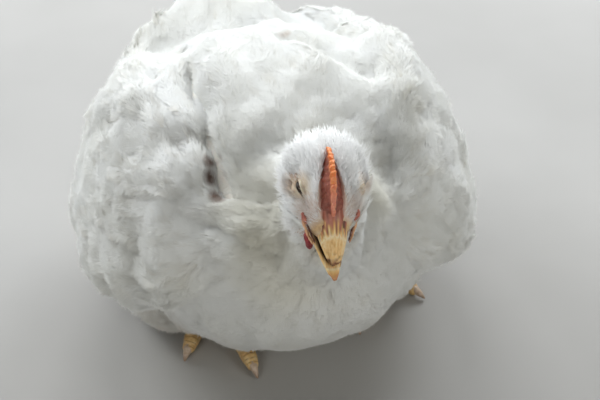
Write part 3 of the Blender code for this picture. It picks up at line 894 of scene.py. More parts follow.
def nearest_node(points, nodes):
    """Which of the solids each point lies closest to."""
    trees = []
    for node in nodes:
        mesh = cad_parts[node].data
        trees.append(BVHTree.FromPolygons([v.co for v in mesh.vertices],
                                          [tuple(p.vertices) for p in mesh.polygons]))
    gaps = np.array([[tree.find_nearest(Vector(p))[3] for tree in trees] for p in points])
    return np.array(nodes)[gaps.argmin(axis=1)]


def lit_through(tree, shader, share, colour):
    """Thin feathers pass part of the light that falls on their far side."""
    through = add_node(tree, "ShaderNodeBsdfTranslucent", Color=(*colour, 1.0))
    both = add_node(tree, "ShaderNodeMixShader", Fac=share)
    tree.links.new(shader.outputs["BSDF"], both.inputs[1])
    tree.links.new(through.outputs["BSDF"], both.inputs[2])
    tree.links.new(both.outputs["Shader"], tree.nodes["Material Output"].inputs["Surface"])


feather_finish, tree, shader, place = new_finish("white_feather", 0.72, Sheen_Weight=0.25,
                                                 Sheen_Roughness=0.5)
vane = add_node(tree, "ShaderNodeUVMap", {"uv_map": "Vane"}).outputs["UV"]
vane = add_node(tree, "ShaderNodeSeparateXYZ", Vector=vane).outputs
ivory = mixed(tree, stretch(tree, vane["Y"], 0.15, 0.75), (0.84, 0.82, 0.77), (0.93, 0.935, 0.925))
broad = ramp(tree, noise(tree, place, 26.0, 3.0, 0.5), (0.35, (0.95, 0.945, 0.92)), (0.65, (1.0, 1.0, 1.0)))
tree.links.new(marked(tree, place, mixed(tree, 1.0, ivory, broad, "MULTIPLY")), shader.inputs["Base Color"])
off_shaft = reckon(tree, "ABSOLUTE", reckon(tree, "SUBTRACT", vane["X"], 0.5))
barb = reckon(tree, "MULTIPLY_ADD", off_shaft, -0.7, vane["Y"])
bumped(tree, shader, reckon(tree, "SINE", reckon(tree, "MULTIPLY", barb, 150.0)), 0.00008, 0.3)
lit_through(tree, shader, 0.28, (0.94, 0.94, 0.92))


def body_spacing(points):
    """Feathers stand closer on the neck and the wing's shoulder than on back and belly."""
    reach = np.linalg.norm(in_head(points), axis=1)
    flank = ease(np.abs(points[:, 0]), 0.055, 0.085) * (1 - ease(points[:, 1], -0.06, 0.05))
    gap = 0.00175 + 0.00145 * ease(reach, 0.024, 0.085) - 0.0002 * flank
    gap *= 1 + 0.7 * ease(-points[:, 2], -0.018, -0.003)
    face = (reach < 0.0235) | (np.linalg.norm(in_head(points) - (0, -0.014, 0.002), axis=1) < 0.0245)
    return np.where(face, 0.0, gap)


roots, room = scatter(guide_points, guide_faces, body_spacing, 11, 240000)
owner = nearest_node(roots, FLESH + QUILL_NODES)
size = ease(room, 0.00175, 0.0032)

region = owner.copy()
region[(owner == "trunk") & (roots[:, 2] > 0.092)] = "trunk_back"
region[(owner == "trunk") & (roots[:, 2] < 0.045)] = "trunk_belly"
for name, nodes, long, broad_by, up, number in (
    ("coat_neck", ("neck", "head"), 1.0, 0.90, 0.0006, 31),
    ("coat_back", ("trunk_back",), 1.02, 1.0, 0.0004, 32),
    ("coat_breast", ("trunk",), 0.98, 1.1, 0.0004, 33),
    ("coat_belly", ("trunk_belly",), 0.98, 1.1, 0.0004, 38),
    ("coat_wing_left", ("wing_left", "flight_left"), 0.95, 1.15, 0.0005, 34),
    ("coat_wing_right", ("wing_right", "flight_right"), 0.95, 1.15, 0.0005, 35),
    ("coat_thighs", ("thigh_left", "thigh_right"), 0.9, 1.05, 0.0006, 36),
    ("coat_tail", ("tail",), 1.1, 1.0, 0.0003, 37),
):
    pick = np.isin(region, nodes)
    spots, grown = roots[pick], size[pick]
    barbs, barb_wide = (52, 0.0005) if name == "coat_neck" else (36, 0.0007)
    lay_feathers(
        name, spots, (0.0120 + 0.0155 * grown) * long, (0.0058 + 0.0085 * grown) * broad_by,
        0.0008 + 0.0010 * grown, barbs, up, number, barb_wide=barb_wide,
    )

# ----------------------------------------------------------------------------------------------------------
# Coverts and hackles. Larger rounded feathers in loose rows over shoulders, wings and back, whose edges
# show as soft scallops, and long slender ones that hang round the neck.


def covert_spacing(points):
    flank = ease(np.abs(points[:, 0]), 0.040, 0.065) * ease(points[:, 2], 0.040, 0.075)
    back = ease(points[:, 2], 0.130, 0.150) * ease(points[:, 1], -0.045, -0.02)
    gap = np.where(flank > 0.3, 0.0082, np.where(back > 0.3, 0.0125, 0.0))
    return np.where(np.linalg.norm(in_head(points), axis=1) < 0.050, 0.0, gap)


lay_feathers(
    "coat_coverts", scatter(guide_points, guide_faces, covert_spacing, 14, 30000)[0], 0.0265, 0.0180, 0.0012,
    84, 0.0011, 41, camber=9.0, reach=0.20, ragged=0.06, barb_wide=0.0009, fluff=0.00018, soft=0.78,
    full_vane=1.3,
)


def hackle_spacing(points):
    inner = in_head(points)
    reach = np.linalg.norm(inner, axis=1)
    low = points[:, 2] < 0.150
    return np.where((reach > 0.026) & (reach < 0.052) & low & (points[:, 2] > 0.100), 0.0062, 0.0)


lay_feathers(
    "coat_hackles", scatter(guide_points, guide_faces, hackle_spacing, 15, 60000)[0], 0.0270, 0.0078, 0.0010,
    38, 0.0010, 42, wander=0.20, camber=8.0, reach=0.22, ragged=0.10, barb_wide=0.0006, fluff=0.00025,
)

# ----------------------------------------------------------------------------------------------------------
# Quills. The folded wing's flight feathers lie in a stepped stack along each flank to the rump, and a short
# fan of tail feathers stands over it. Each has a stiff shaft and a smooth closed vane with a few splits.


QUILL_STEPS = 16
QUILL_ROWS = 64
QUILL_DROOP = 0.00008
QUILL_ACROSS = np.array((-1, -0.78, -0.55, -0.30, -0.10, -0.05, 0.0, 0.05, 0.10, 0.30, 0.55, 0.78, 1.0))
QUILL_ALONG = (0, 0.10, 0.30, 0.72, 0.86, 0.94, 0.98, 1.0)
QUILL_WIDE = (0.10, 0.40, 0.95, 1.0, 0.90, 0.68, 0.38, 0.06)


def lay_quills(name, roots, turns, lengths, half, proud, seed, held):
    """Stiff feathers that lie on the body, and stand clear of it past the held share of their length: each
    a closed vane with a raised shaft, a rounded end and a few splits."""
    rng = np.random.default_rng(seed)
    count = len(roots)
    places, normals = feather_lines(roots, turns, lengths, steps=QUILL_STEPS)
    for i in range(int(QUILL_STEPS * held) + 1, QUILL_STEPS + 1):
        ahead = unit(places[:, i - 1] - places[:, i - 2] - (0, 0, QUILL_DROOP))
        places[:, i] = places[:, i - 1] + ahead * (lengths / QUILL_STEPS)[:, None]
        normals[:, i] = along_surface(normals[:, i - 1], ahead)
    u = QUILL_ACROSS
    along = np.linspace(0, 1, QUILL_ROWS)[None, :, None]
    wide = half * np.interp(along, QUILL_ALONG, QUILL_WIDE) * np.where(u < 0, 0.80, 1.10)
    for _ in range(3):
        place, flank = rng.uniform(0.35, 0.95, (count, 1, 1)), rng.choice((-1, 1), (count, 1, 1))
        split = dent(along - place - 0.04 * np.abs(u), 0.010)
        wide = wide * (1 - 0.22 * split * np.clip(flank * u, 0, 1) ** 2)
    aside = u * wide * np.ones((count, 1, 1))
    t = along - 0.5 * (half / lengths[:, None, None]) * np.abs(u) ** 2.2 * along
    shaft = np.clip(1 - np.abs(u) / 0.08, 0, 1) * 0.0006 * (1 - 0.8 * along)
    wave = 0.00025 * np.sin(along * 9 + rng.uniform(0, 6, (count, 1, 1))) * u
    above = proud[:, None, None] - 0.0045 * np.clip(1 - along / 0.32, 0, 1) - 7.0 * aside**2 + shaft + wave
    full = (count, QUILL_ROWS, len(u))
    t, aside, above = (np.broadcast_to(value, full).reshape(count, -1) for value in (t, aside, above))
    world, over = set_on_lines(places, normals, t, aside, above)
    faces = []
    for i in range(QUILL_ROWS - 1):
        for j in range(len(u) - 1):
            a = i * len(u) + j
            faces += [(a, a + 1, a + len(u) + 1), (a, a + len(u) + 1, a + len(u))]
    across = np.clip(0.5 + aside / (MAP_WIDTH * half), 0, 1)
    return add_coat(name, world, faces, over, feather_finish, 0.35, skin_map(roots), across, t)


share = np.linspace(0, 1, 10)
for side, word in ((-1, "right"), (1, "left")):
    outward = side * (0.084 + 0.004 * np.sin(share * 3.1))
    roots = np.stack([outward, 0.036 - 0.012 * share, 0.116 - 0.044 * share], axis=-1)
    obj = lay_quills(
        f"flight_quills_{word}", roots, side * np.radians(13 + 9 * share), 0.064 + 0.024 * share, 0.0092,
        0.0018 - 0.0008 * share, 90 + side, 0.88,
    )
    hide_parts(f"flight_{word}")
share = np.linspace(-1, 1, 9)
roots = np.stack([-0.003 + 0.012 * share, 0.088 + 0 * share, 0.142 - 0.002 * share**2], axis=-1)
lay_quills(
    "tail_quills", roots, np.radians(-7 * share), 0.060 - 0.006 * share**2, 0.0080,
    0.0030 - 0.0016 * np.abs(share), 91, 0.80,
)

# ----------------------------------------------------------------------------------------------------------
# Head plumage. Very short fine tufts, thick and white on crown and cheeks, thinning to single bristles over
# the bare skin round the eye, along the comb and at the base of the beak.

SNOUT_MIDDLE = (0, -0.014, 0.002)
FLOW_START = np.array((0.0, -0.034, 0.006))
HEAD_CURVE = 0.046
skin_points = points_of(skin.data)
skin_normals = normals_of(skin.data)
skin_faces = [tuple(face.vertices) for face in skin.data.polygons]


def slit_gap(inner):
    """How far points in head axes are from the nearer eye's slit."""
    gap = np.full(len(inner), 1.0)
    for side in (-1, 1):
        outward, along, over = eye_axes(side)
        middle = EYE * (side, 1, 1) + outward * EYE_RADIUS * 1.16
        ends = (middle - along * 0.0042, middle, middle + along * 0.0042)
        gap = np.minimum(gap, along_line(inner, ends))
    return gap


def tuft_spacing(points):
    """Tufts stand close on the crown and sparse on the face, with none on comb bed, lids and cere."""
    inner = in_head(points)
    reach = np.linalg.norm(inner, axis=1)
    slit = slit_gap(inner)
    front = ease(-inner[:, 1], 0.006, 0.022)
    gap = 0.00056 + 0.00062 * front + 0.0018 * (1 - ease(slit, 0.0022, 0.0068))
    beside_comb = np.abs(inner[:, 0]) < comb_side(inner[:, 1]) * 1.05 + 0.0003
    bed = beside_comb & (inner[:, 2] > 0) & (inner[:, 1] < 0.0075)
    cere = (inner[:, 1] < -0.0232) & (inner[:, 2] > -0.0060)
    bare = bed | cere | (slit < 0.0027) | (inner[:, 1] < -0.0285)
    far = (reach > 0.0300) & (np.linalg.norm(inner - SNOUT_MIDDLE, axis=1) > 0.0285)
    return np.where(bare | far, 0.0, gap)


# One blade of down: its faces, and the shares across and along it of its five corners.
BLADE_FACES = ((0, 1, 3), (0, 3, 2), (2, 3, 4))
BLADE_ACROSS = (0.3, 0.7, 0.35, 0.65, 0.5)
BLADE_ALONG = (0.2, 0.2, 0.6, 0.6, 1.0)


def add_blades(name, world, over, finish, soft, root_map):
    """Blades of down as one piece, with five points each."""
    across, along = (np.broadcast_to(shares, world.shape[:2]) for shares in (BLADE_ACROSS, BLADE_ALONG))
    add_coat(name, world, BLADE_FACES, over, finish, soft, root_map, across, along)


def lay_tufts(name, roots, room, finish, blades=7, seed=51):
    """Tufts as one mesh: a few slender blades fan out from each root and bow over with the head's curve."""
    rng = np.random.default_rng(seed)
    places, normals = np.empty_like(roots), np.empty_like(roots)
    for i, root in enumerate(roots):
        place, _, index, _ = skin_tree.find_nearest(Vector(root))
        places[i], normals[i] = place, skin_normals[list(skin_faces[index])].mean(axis=0)
    normals = unit(normals)
    inner = in_head(places)
    slit = slit_gap(inner)
    crown = ease(inner[:, 1], -0.016, -0.002) * ease(inner[:, 2], -0.010, 0.006)
    small = (1 - ease(slit, 0.0015, 0.0075)) * 0.55 + ease(-inner[:, 1], 0.010, 0.024) * 0.35
    length = (0.0046 + 0.0014 * crown) * (1 - np.clip(small * 0.8, 0, 0.6))
    rise = (0.0013 + 0.0013 * crown) * (1 - np.clip(small * 1.2, 0, 0.85))
    flow = inner - FLOW_START
    flow[:, 2] -= 0.010 * ease(-inner[:, 2], -0.004, 0.012)
    flow = along_surface(flow @ TURN.T, normals)
    shape = (len(roots), blades)
    face = ease(-inner[:, 1], 0.006, 0.020)[:, None]
    swing = rng.normal(0, 1, shape) * (0.30 - 0.12 * face) + (ripple(places, 0.012, 52) * 0.25)[:, None]
    across = np.cross(normals, flow)
    heading = flow[:, None] * np.cos(swing)[..., None] + across[:, None] * np.sin(swing)[..., None]
    beside = unit(np.cross(heading, np.broadcast_to(normals[:, None], heading.shape)))
    long = length[:, None] * rng.uniform(0.65, 1.2, shape)
    high = rise[:, None] * rng.uniform(0.35, 1.1, shape)
    stray = rng.random(shape) < 0.09
    high = np.where(stray, high * 2.2 + 0.0004, high)
    spread_across, spread_along = rng.normal(0, 1, shape), rng.normal(0, 1, shape)
    spread = across[:, None] * spread_across[..., None] + flow[:, None] * spread_along[..., None]
    start = places[:, None] + spread * room[:, None, None] * 0.45
    half = (rng.uniform(0.00014, 0.00026, shape) * (1 - 0.45 * face))[..., None]

    def at(share, wide):
        run = long * share
        lift = high * math.sin(share * math.pi / 2) - run**2 / HEAD_CURVE
        return start + heading * run[..., None] + normals[:, None] * lift[..., None] + beside * half * wide

    base = start - normals[:, None] * 0.0003
    foot = [base - beside * half, base + beside * half]
    world = np.stack(foot + [at(0.5, -0.8), at(0.5, 0.8), at(1.0, 0.0)], axis=2)
    over = np.broadcast_to(normals[:, None, None], world.shape)
    add_blades(name, world.reshape(-1, 5, 3), over, finish, 0.65, np.repeat(skin_map(roots), blades, axis=0))


roots, room = scatter(skin_points, skin_faces, tuft_spacing, 50, 420000)
down_finish, tree, shader, place = new_finish("white_down", 0.75, Sheen_Weight=0.55, Sheen_Roughness=0.4)
tree.links.new(marked(tree, place, (0.97, 0.97, 0.965)), shader.inputs["Base Color"])
lit_through(tree, shader, 0.28, (0.97, 0.97, 0.96))
lay_tufts("coat_head", roots, room, down_finish)

# Stray bristles: single loose blades that stand out of the short plumage all over the head.
BLADE = ((-0.045, 0.0, -0.06), (0.045, 0.0, -0.06), (-0.038, 0.10, 0.55), (0.038, 0.10, 0.55),
         (0.0, 0.38, 1.0))
BRISTLES_TO_A_METRE = 600000.0
LONGEST_BRISTLE = 0.0056
blade = add_piece("stray_blade", BLADE, BLADE_FACES, down_finish)

bed = bpy.data.objects.new("bristle_bed", skin.data.copy())
bpy.context.scene.collection.objects.link(bed)
inner = in_head(skin_points)
reach = np.linalg.norm(inner, axis=1)
bristly = (tuft_spacing(skin_points) > 0) * (reach < 0.0270) * ease(slit_gap(inner), 0.0048, 0.0070)
short = 1 - 0.55 * ease(-inner[:, 1], 0.004, 0.018)
flow = along_surface((inner - FLOW_START) @ TURN.T, skin_normals)
heading = unit(flow * 0.85 + skin_normals * 0.62)
for name, kind, entry, values in (
    ("Bristly", "FLOAT", "value", bristly),
    ("Short", "FLOAT", "value", short),
    ("Heading", "FLOAT_VECTOR", "vector", heading.ravel()),
):
    bed.data.attributes.new(name, kind, "POINT").data.foreach_set(entry, values)


def given_on(tree, name, kind="FLOAT"):
    """An attribute of the bed that the bristles grow on."""
    return add_node(tree, "GeometryNodeInputNamedAttribute", {"data_type": kind},
                    Name=name).outputs["Attribute"]


strew = bpy.data.node_groups.new("stray_bristles", "GeometryNodeTree")
for label, kind, way in (
    ("Skin", "NodeSocketGeometry", "INPUT"), ("Blade", "NodeSocketObject", "INPUT"),
    ("Number per square metre", "NodeSocketFloat", "INPUT"), ("Longest", "NodeSocketFloat", "INPUT"),
    ("Finish", "NodeSocketMaterial", "INPUT"), ("Bristles", "NodeSocketGeometry", "OUTPUT"),
):
    strew.interface.new_socket(name=label, in_out=way, socket_type=kind)
given = strew.nodes.new("NodeGroupInput").outputs
often = reckon(strew, "MULTIPLY", given_on(strew, "Bristly"), given["Number per square metre"])
spots = add_node(
    strew, "GeometryNodeDistributePointsOnFaces", {"distribute_method": "RANDOM"}, Mesh=given["Skin"],
    Density=often, Seed=57,
)
ahead = given_on(strew, "Heading", "FLOAT_VECTOR")
aimed = add_node(strew, "FunctionNodeAlignRotationToVector", {"axis": "Z"}, Vector=ahead).outputs["Rotation"]
lean = strew.nodes.new("FunctionNodeRandomValue")
lean.data_type = "FLOAT_VECTOR"
lean.inputs[0].default_value = (-0.40, -0.40, 0.0)
lean.inputs[1].default_value = (0.40, 0.40, 2 * math.pi)
lean.inputs["Seed"].default_value = 58
lean = add_node(strew, "FunctionNodeEulerToRotation", Euler=lean.outputs[0]).outputs["Rotation"]
aimed = add_node(strew, "FunctionNodeRotateRotation", {"rotation_space": "LOCAL"}, Rotation=aimed,
                 Rotate_By=lean)
grown = strew.nodes.new("FunctionNodeRandomValue")
grown.data_type = "FLOAT"
grown.inputs[2].default_value = 0.45
grown.inputs[3].default_value = 1.0
grown.inputs["Seed"].default_value = 59
grown = reckon(strew, "MULTIPLY", grown.outputs[1], given_on(strew, "Short"))
grown = reckon(strew, "MULTIPLY", grown, given["Longest"])
shape = add_node(strew, "GeometryNodeObjectInfo", Object=given["Blade"]).outputs["Geometry"]
laid = add_node(
    strew, "GeometryNodeInstanceOnPoints", Points=spots.outputs["Points"], Instance=shape,
    Rotation=aimed.outputs["Rotation"], Scale=grown,
)
solid = add_node(strew, "GeometryNodeRealizeInstances",
                 Geometry=laid.outputs["Instances"]).outputs["Geometry"]
solid = add_node(strew, "GeometryNodeSetMaterial", Geometry=solid,
                 Material=given["Finish"]).outputs["Geometry"]
strew.links.new(solid, strew.nodes.new("NodeGroupOutput").inputs["Bristles"])

growing = bed.modifiers.new("stray_bristles", "NODES")
growing.node_group = strew
named = {item.name: item.identifier for item in strew.interface.items_tree}
growing[named["Blade"]] = blade
growing[named["Number per square metre"]] = BRISTLES_TO_A_METRE
growing[named["Longest"]] = LONGEST_BRISTLE
growing[named["Finish"]] = down_finish
bed.update_tag()
settled(bed)
strands = points_of(bed.data).reshape(-1, 5, 3)
roots = strands[:, :2].mean(axis=1)
over = np.array([skin_normals[skin_faces[skin_tree.find_nearest(Vector(root))[2]][0]] for root in roots])
add_blades("coat_bristles", strands, np.repeat(over, 5, axis=0), down_finish, 0.60, skin_map(roots))
bpy.data.objects.remove(bed)
bpy.data.objects.remove(blade)

# ----------------------------------------------------------------------------------------------------------
# Eyes. Dark glossy balls that show only through the slit between the lids of a drowsy bird.

eye_finish, tree, shader, place = new_finish("eye_ball", 0.42, Specular_IOR_Level=0.25)
tree.links.new(
    ramp(tree, noise(tree, place, 900.0), (0.35, (0.012, 0.008, 0.007)), (0.7, (0.06, 0.030, 0.016))),
    shader.inputs["Base Color"],
)
for side, word in ((-1, "right"), (1, "left")):
    bm = bmesh.new()
    bmesh.ops.create_uvsphere(bm, u_segments=40, v_segments=24, radius=EYE_RADIUS * 0.97)
    bmesh.ops.translate(bm, verts=bm.verts, vec=HEAD_CENTRE + HEAD_TURN @ Vector(EYE * (side, 1, 1)))
    ball = bpy.data.meshes.new(f"eyeball_{word}")
    bm.to_mesh(ball)
    bm.free()
    ball.shade_smooth()
    ball.materials.append(eye_finish)
    obj = bpy.data.objects.new(f"eyeball_{word}", ball)
    bpy.context.scene.collection.objects.link(obj)
    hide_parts(f"eye_{word}")
    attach(obj, "root")

# ----------------------------------------------------------------------------------------------------------
# Comb. A young bird's low single comb: a firm beaded ridge whose flanks widen into the bare skin between
# crown and cere. Its red carries painted light: the ridge's top is painted bright orange as a lit highlight,
# and the flanks are painted dark red as shade.


def tube_faces(count, sides):
    """Triangles of a tube of rings, with a point at each end that closes it."""
    faces = []
    for i in range(count - 1):
        for j in range(sides):
            k = (j + 1) % sides
            a, b, c, d = i * sides + j, i * sides + k, (i + 1) * sides + k, (i + 1) * sides + j
            faces += [(a, b, c), (a, c, d)]
    for j in range(sides):
        k = (j + 1) % sides
        far = (count - 1) * sides
        faces += [(count * sides, k, j), (count * sides + 1, far + j, far + k)]
    return np.array(faces)


def face_outwards(mesh):
    """Turns a closed mesh's faces outwards."""
    bm = bmesh.new()
    bm.from_mesh(mesh)
    bmesh.ops.recalc_face_normals(bm, faces=bm.faces)
    bm.to_mesh(mesh)
    bm.free()


def loft(name, rings, finish, tones=None):
    """A closed tube through rings of points in head axes, with three shares of Tone for each point."""
    rings = np.asarray(rings)
    points = from_head(np.concatenate([rings.reshape(-1, 3), rings[[0, -1]].mean(axis=1)]))
    obj = add_piece(name, points, tube_faces(*rings.shape[:2]), finish)
    face_outwards(obj.data)
    if tones is not None:
        tones = np.asarray(tones)
        add_tone(obj.data, np.concatenate([tones.reshape(-1, 3), tones[[0, -1], 0]]))
    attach(obj, "root")
    return obj


comb_finish, tree, shader, place = new_finish(
    "comb_flesh", 0.42, Subsurface_Weight=0.30, Subsurface_Radius=(0.0022, 0.0006, 0.0003),
    Subsurface_Scale=1.0
)
tones = tone_shares(tree)
speckle = noise(tree, place, 600.0, 4.0, 0.6)
# Painted light on the comb: the flanks' dark red is painted shade, the ridge's orange a painted highlight on
# its lit top.
flank = ramp(tree, speckle, (0.3, (0.22, 0.055, 0.040)), (0.7, (0.42, 0.14, 0.095)))
ridge = ramp(tree, speckle, (0.3, (0.80, 0.20, 0.055)), (0.7, (0.95, 0.36, 0.12)))
front = ramp(tree, speckle, (0.3, (0.66, 0.20, 0.13)), (0.7, (0.84, 0.38, 0.25)))
colour = mixed(tree, tones["Red"], flank, ridge)
tree.links.new(mixed(tree, tones["Green"], colour, front), shader.inputs["Base Color"])
grain = add_node(tree, "ShaderNodeTexVoronoi", Vector=place, Scale=1500.0).outputs["Distance"]
bumped(tree, shader, grain, 0.0003, 0.5)

COMB_FRONT, COMB_BACK = -0.0262, 0.0062
COMB_PLACES = (0, 0.12, 0.25, 0.5, 0.75, 1)
COMB_FOOT = (0.0004, 0.0058, 0.0096, 0.0138, 0.0160, 0.0168)
COMB_RINGS = 170
COMB_UPPER = 41
BEADS = 12
CREST = 0.35
rings, tones = [], []
sweep = np.linspace(-1, 1, COMB_UPPER)
lower = COMB_UPPER - 2
for share in np.linspace(0, 1, COMB_RINGS):
    y = COMB_FRONT + (COMB_BACK - COMB_FRONT) * share
    swell = math.sin(math.pi * share) ** 0.6
    foot = np.interp(share, COMB_PLACES, COMB_FOOT)
    bead = abs(math.sin(BEADS * math.pi * share**1.1)) ** 0.7 * ease(share, 0.06, 0.34)
    top = foot + 0.0022 + 0.0082 * swell
    ridge_half = (0.00105 + 0.00025 * bead) * (0.40 + 0.60 * swell)
    base_half = max(comb_side(y) * 0.96, ridge_half * 1.2)
    reach = np.abs(sweep)
    out = (reach - CREST) / (1 - CREST)
    rounded = ridge_half * np.sin(np.minimum(reach / CREST, 1) * math.pi / 2)
    flared = ridge_half + (base_half - ridge_half) * np.maximum(out, 0) ** 1.7
    aside = np.where(reach < CREST, rounded, flared)
    fall = np.where(reach < CREST, 1 - 0.12 * (reach / CREST) ** 2, 0.88 * np.maximum(1 - out, 0) ** 1.1)
    crest = ease(fall, 0.70, 0.92)
    z = foot + (top - foot) * fall + 0.0009 * bead * swell * crest
    slant = 0.00022 * math.sin(2 * BEADS * math.pi * share)
    upper = np.stack([np.sign(sweep) * aside + slant * crest, y + 0 * sweep, z], axis=-1)
    under = np.stack([upper[::-1, 0][1:-1] * 0.98, np.full(lower, y), np.full(lower, foot - 0.0022)], axis=-1)
    rings.append(np.concatenate([upper, under]))
    # Red share of Tone: the ridge's top, which gets the painted highlight; the rest gets the flanks' painted
    # shade.
    red = ease(fall, 0.66, 0.90)
    pink = red * (1 - ease(share, 0.16, 0.46))
    tones.append(np.concatenate([np.stack([red, pink, 0 * red], axis=-1), np.zeros((lower, 3))]))
rings = np.array(rings)
for axis, size, seed, height in ((2, 0.0022, 61, 0.00022), (0, 0.0028, 62, 0.00020)):
    uneven = ripple(rings[:, :COMB_UPPER].reshape(-1, 3), size, seed).reshape(COMB_RINGS, COMB_UPPER)
    rings[:, :COMB_UPPER, axis] += uneven * height
obj = loft("comb_ridge", rings, comb_finish, tones)
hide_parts("comb")

# ----------------------------------------------------------------------------------------------------------
# Beak. Horn over bone, tan and slightly streaked, with a rounded ridge on top. The upper half was trimmed
# short as on farm birds, so its end is blunt, dark and ragged, and the lower half reaches past it. Near-black
# painted shade lies inside the mouth, in the nostrils and in the troughs of the cere's wrinkles.

horn_finish, tree, shader, place = new_finish("beak_horn", 0.38, Subsurface_Weight=0.12,
                                              Subsurface_Radius=(0.0015, 0.0008, 0.0004),
                                              Subsurface_Scale=1.0)
tones = tone_shares(tree)
stretched = add_node(tree, "ShaderNodeMapping", Vector=place,
                     Rotation=(math.radians(21), 0.0, math.radians(-6)),
                     Scale=(1300.0, 110.0, 350.0)).outputs["Vector"]
fibre = noise(tree, stretched, 1.0, 5.0, 0.6)
horn = ramp(tree, fibre, (0.25, (0.66, 0.36, 0.12)), (0.50, (0.93, 0.61, 0.27)), (0.75, (1.0, 0.80, 0.48)))
burnt = ramp(tree, noise(tree, place, 700.0, 4.0, 0.7), (0.35, (0.07, 0.030, 0.018)),
             (0.7, (0.42, 0.20, 0.11)))
# Painted shade: the near-black of the mouth's inside, the nostrils and the wrinkle troughs.
near_black_shade = ramp(tree, fibre, (0.3, (0.020, 0.008, 0.006)), (0.7, (0.10, 0.035, 0.022)))
colour = mixed(tree, tones["Red"], horn, burnt)
colour = mixed(tree, tones["Green"], colour, near_black_shade)
cere = ramp(tree, tones["Blue"], (0.0, (1.0, 0.86, 0.60)), (0.30, (0.95, 0.66, 0.30)),
            (0.65, (0.80, 0.46, 0.17)),
            (1.0, (0.50, 0.17, 0.11)))
tree.links.new(mixed(tree, stretch(tree, tones["Blue"], 0.0, 0.10), colour,
                     mixed(tree, tones["Green"], cere, near_black_shade)),
               shader.inputs["Base Color"])
bumped(tree, shader, fibre, 0.0002, 0.4)

STUB = np.array((0.0008, -0.0392, -0.0076))
ROOT = np.array((0.0002, -0.0200, 0.0008))
UPPER_PLACES = (0, 0.25, 0.5, 0.75, 0.93, 1)
UPPER_HALF = (0.0078, 0.0074, 0.0061, 0.0044, 0.0030, 0.0020)
UPPER_ABOVE = (0.0096, 0.0090, 0.0064, 0.0042, 0.0026, 0.0011)
NOSTRIL = (0.0050, -0.0258)
WRINKLE = 0.00034
around = np.linspace(0, 2 * math.pi, 56, endpoint=False)
up = np.cos(around)
edge = dent(up + 0.05, 0.22)
rings, tones = [], []
for share in np.linspace(0, 1, 64):
    middle = ROOT + (STUB - ROOT) * share + (0, 0, 0.0010 * math.sin(math.pi * share))
    half = np.interp(share, UPPER_PLACES, UPPER_HALF)
    above = np.interp(share, UPPER_PLACES, UPPER_ABOVE)
    below = np.interp(share, (0, 0.5, 1), (0.0020, 0.0020, 0.0012))
    x = half * np.sign(np.sin(around)) * np.abs(np.sin(around)) ** 0.92
    culmen = 0.0005 * dent(x, 0.0011) * (up > 0)
    z = np.where(up > 0, above * np.abs(up) ** 1.12, -below * np.abs(up) ** 0.7) + culmen
    x = x * (1 + 0.03 * edge)
    worn = ripple(np.stack([x * 1.2, 0 * x + share * 0.002, z * 1.2], axis=-1), 0.0026, 72)
    y = worn * (0.0008 * ease(share, 0.80, 1.0))
    ring = np.stack([middle[0] + x, middle[1] + y, middle[2] + z + 0.3 * y], axis=-1)
    beside, behind = NOSTRIL
    slot = np.minimum(
        *(np.hypot((ring[:, 0] - side * beside) / 0.00060, (ring[:, 1] - behind) / 0.0017)
          for side in (-1, 1))
    )
    nostril = (1 - ease(slot, 0.6, 1.3)) * (up > 0)
    wrinkled = np.sin(x * 4600 + 1.3 * np.sin(x * 900)) * WRINKLE * (1 - ease(share, 0.46, 0.56))
    brim = 0.00045 * dent(share - 0.57, 0.035)
    rimmed = 0.0002 * (1 - ease(slot, 1.2, 2.4))
    ring[:, 2] += (wrinkled * (1 - nostril) - 0.0006 * nostril + rimmed + brim) * (up > 0)
    rings.append(ring)
    burn = ease(share + 0.09 * ripple(ring, 0.0032, 74), 0.86, 1.02)
    # Green share of Tone: painted shade under the upper half where the mouth opens, in the nostrils and in
    # the cere's wrinkle troughs.
    mouth_nostril_crease_shade = np.maximum((up < -0.12) * 1.0, nostril * 0.9)
    mouth_nostril_crease_shade = np.maximum(mouth_nostril_crease_shade, np.clip(-wrinkled / WRINKLE, 0, 1) * 0.55 * (up > 0))
    streak = 0.10 * np.sin(x * 3100 + 2.0) + 0.06 * np.sin(x * 7300)
    base = (1 - ease(share + streak * (1 - ease(share, 0.5, 0.6)), 0.30, 0.62)) * (up > -0.1)
    tones.append(np.stack([burn, mouth_nostril_crease_shade, base], axis=-1))
obj = loft("beak_upper_horn", rings, horn_finish, tones)
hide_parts("beak_upper")

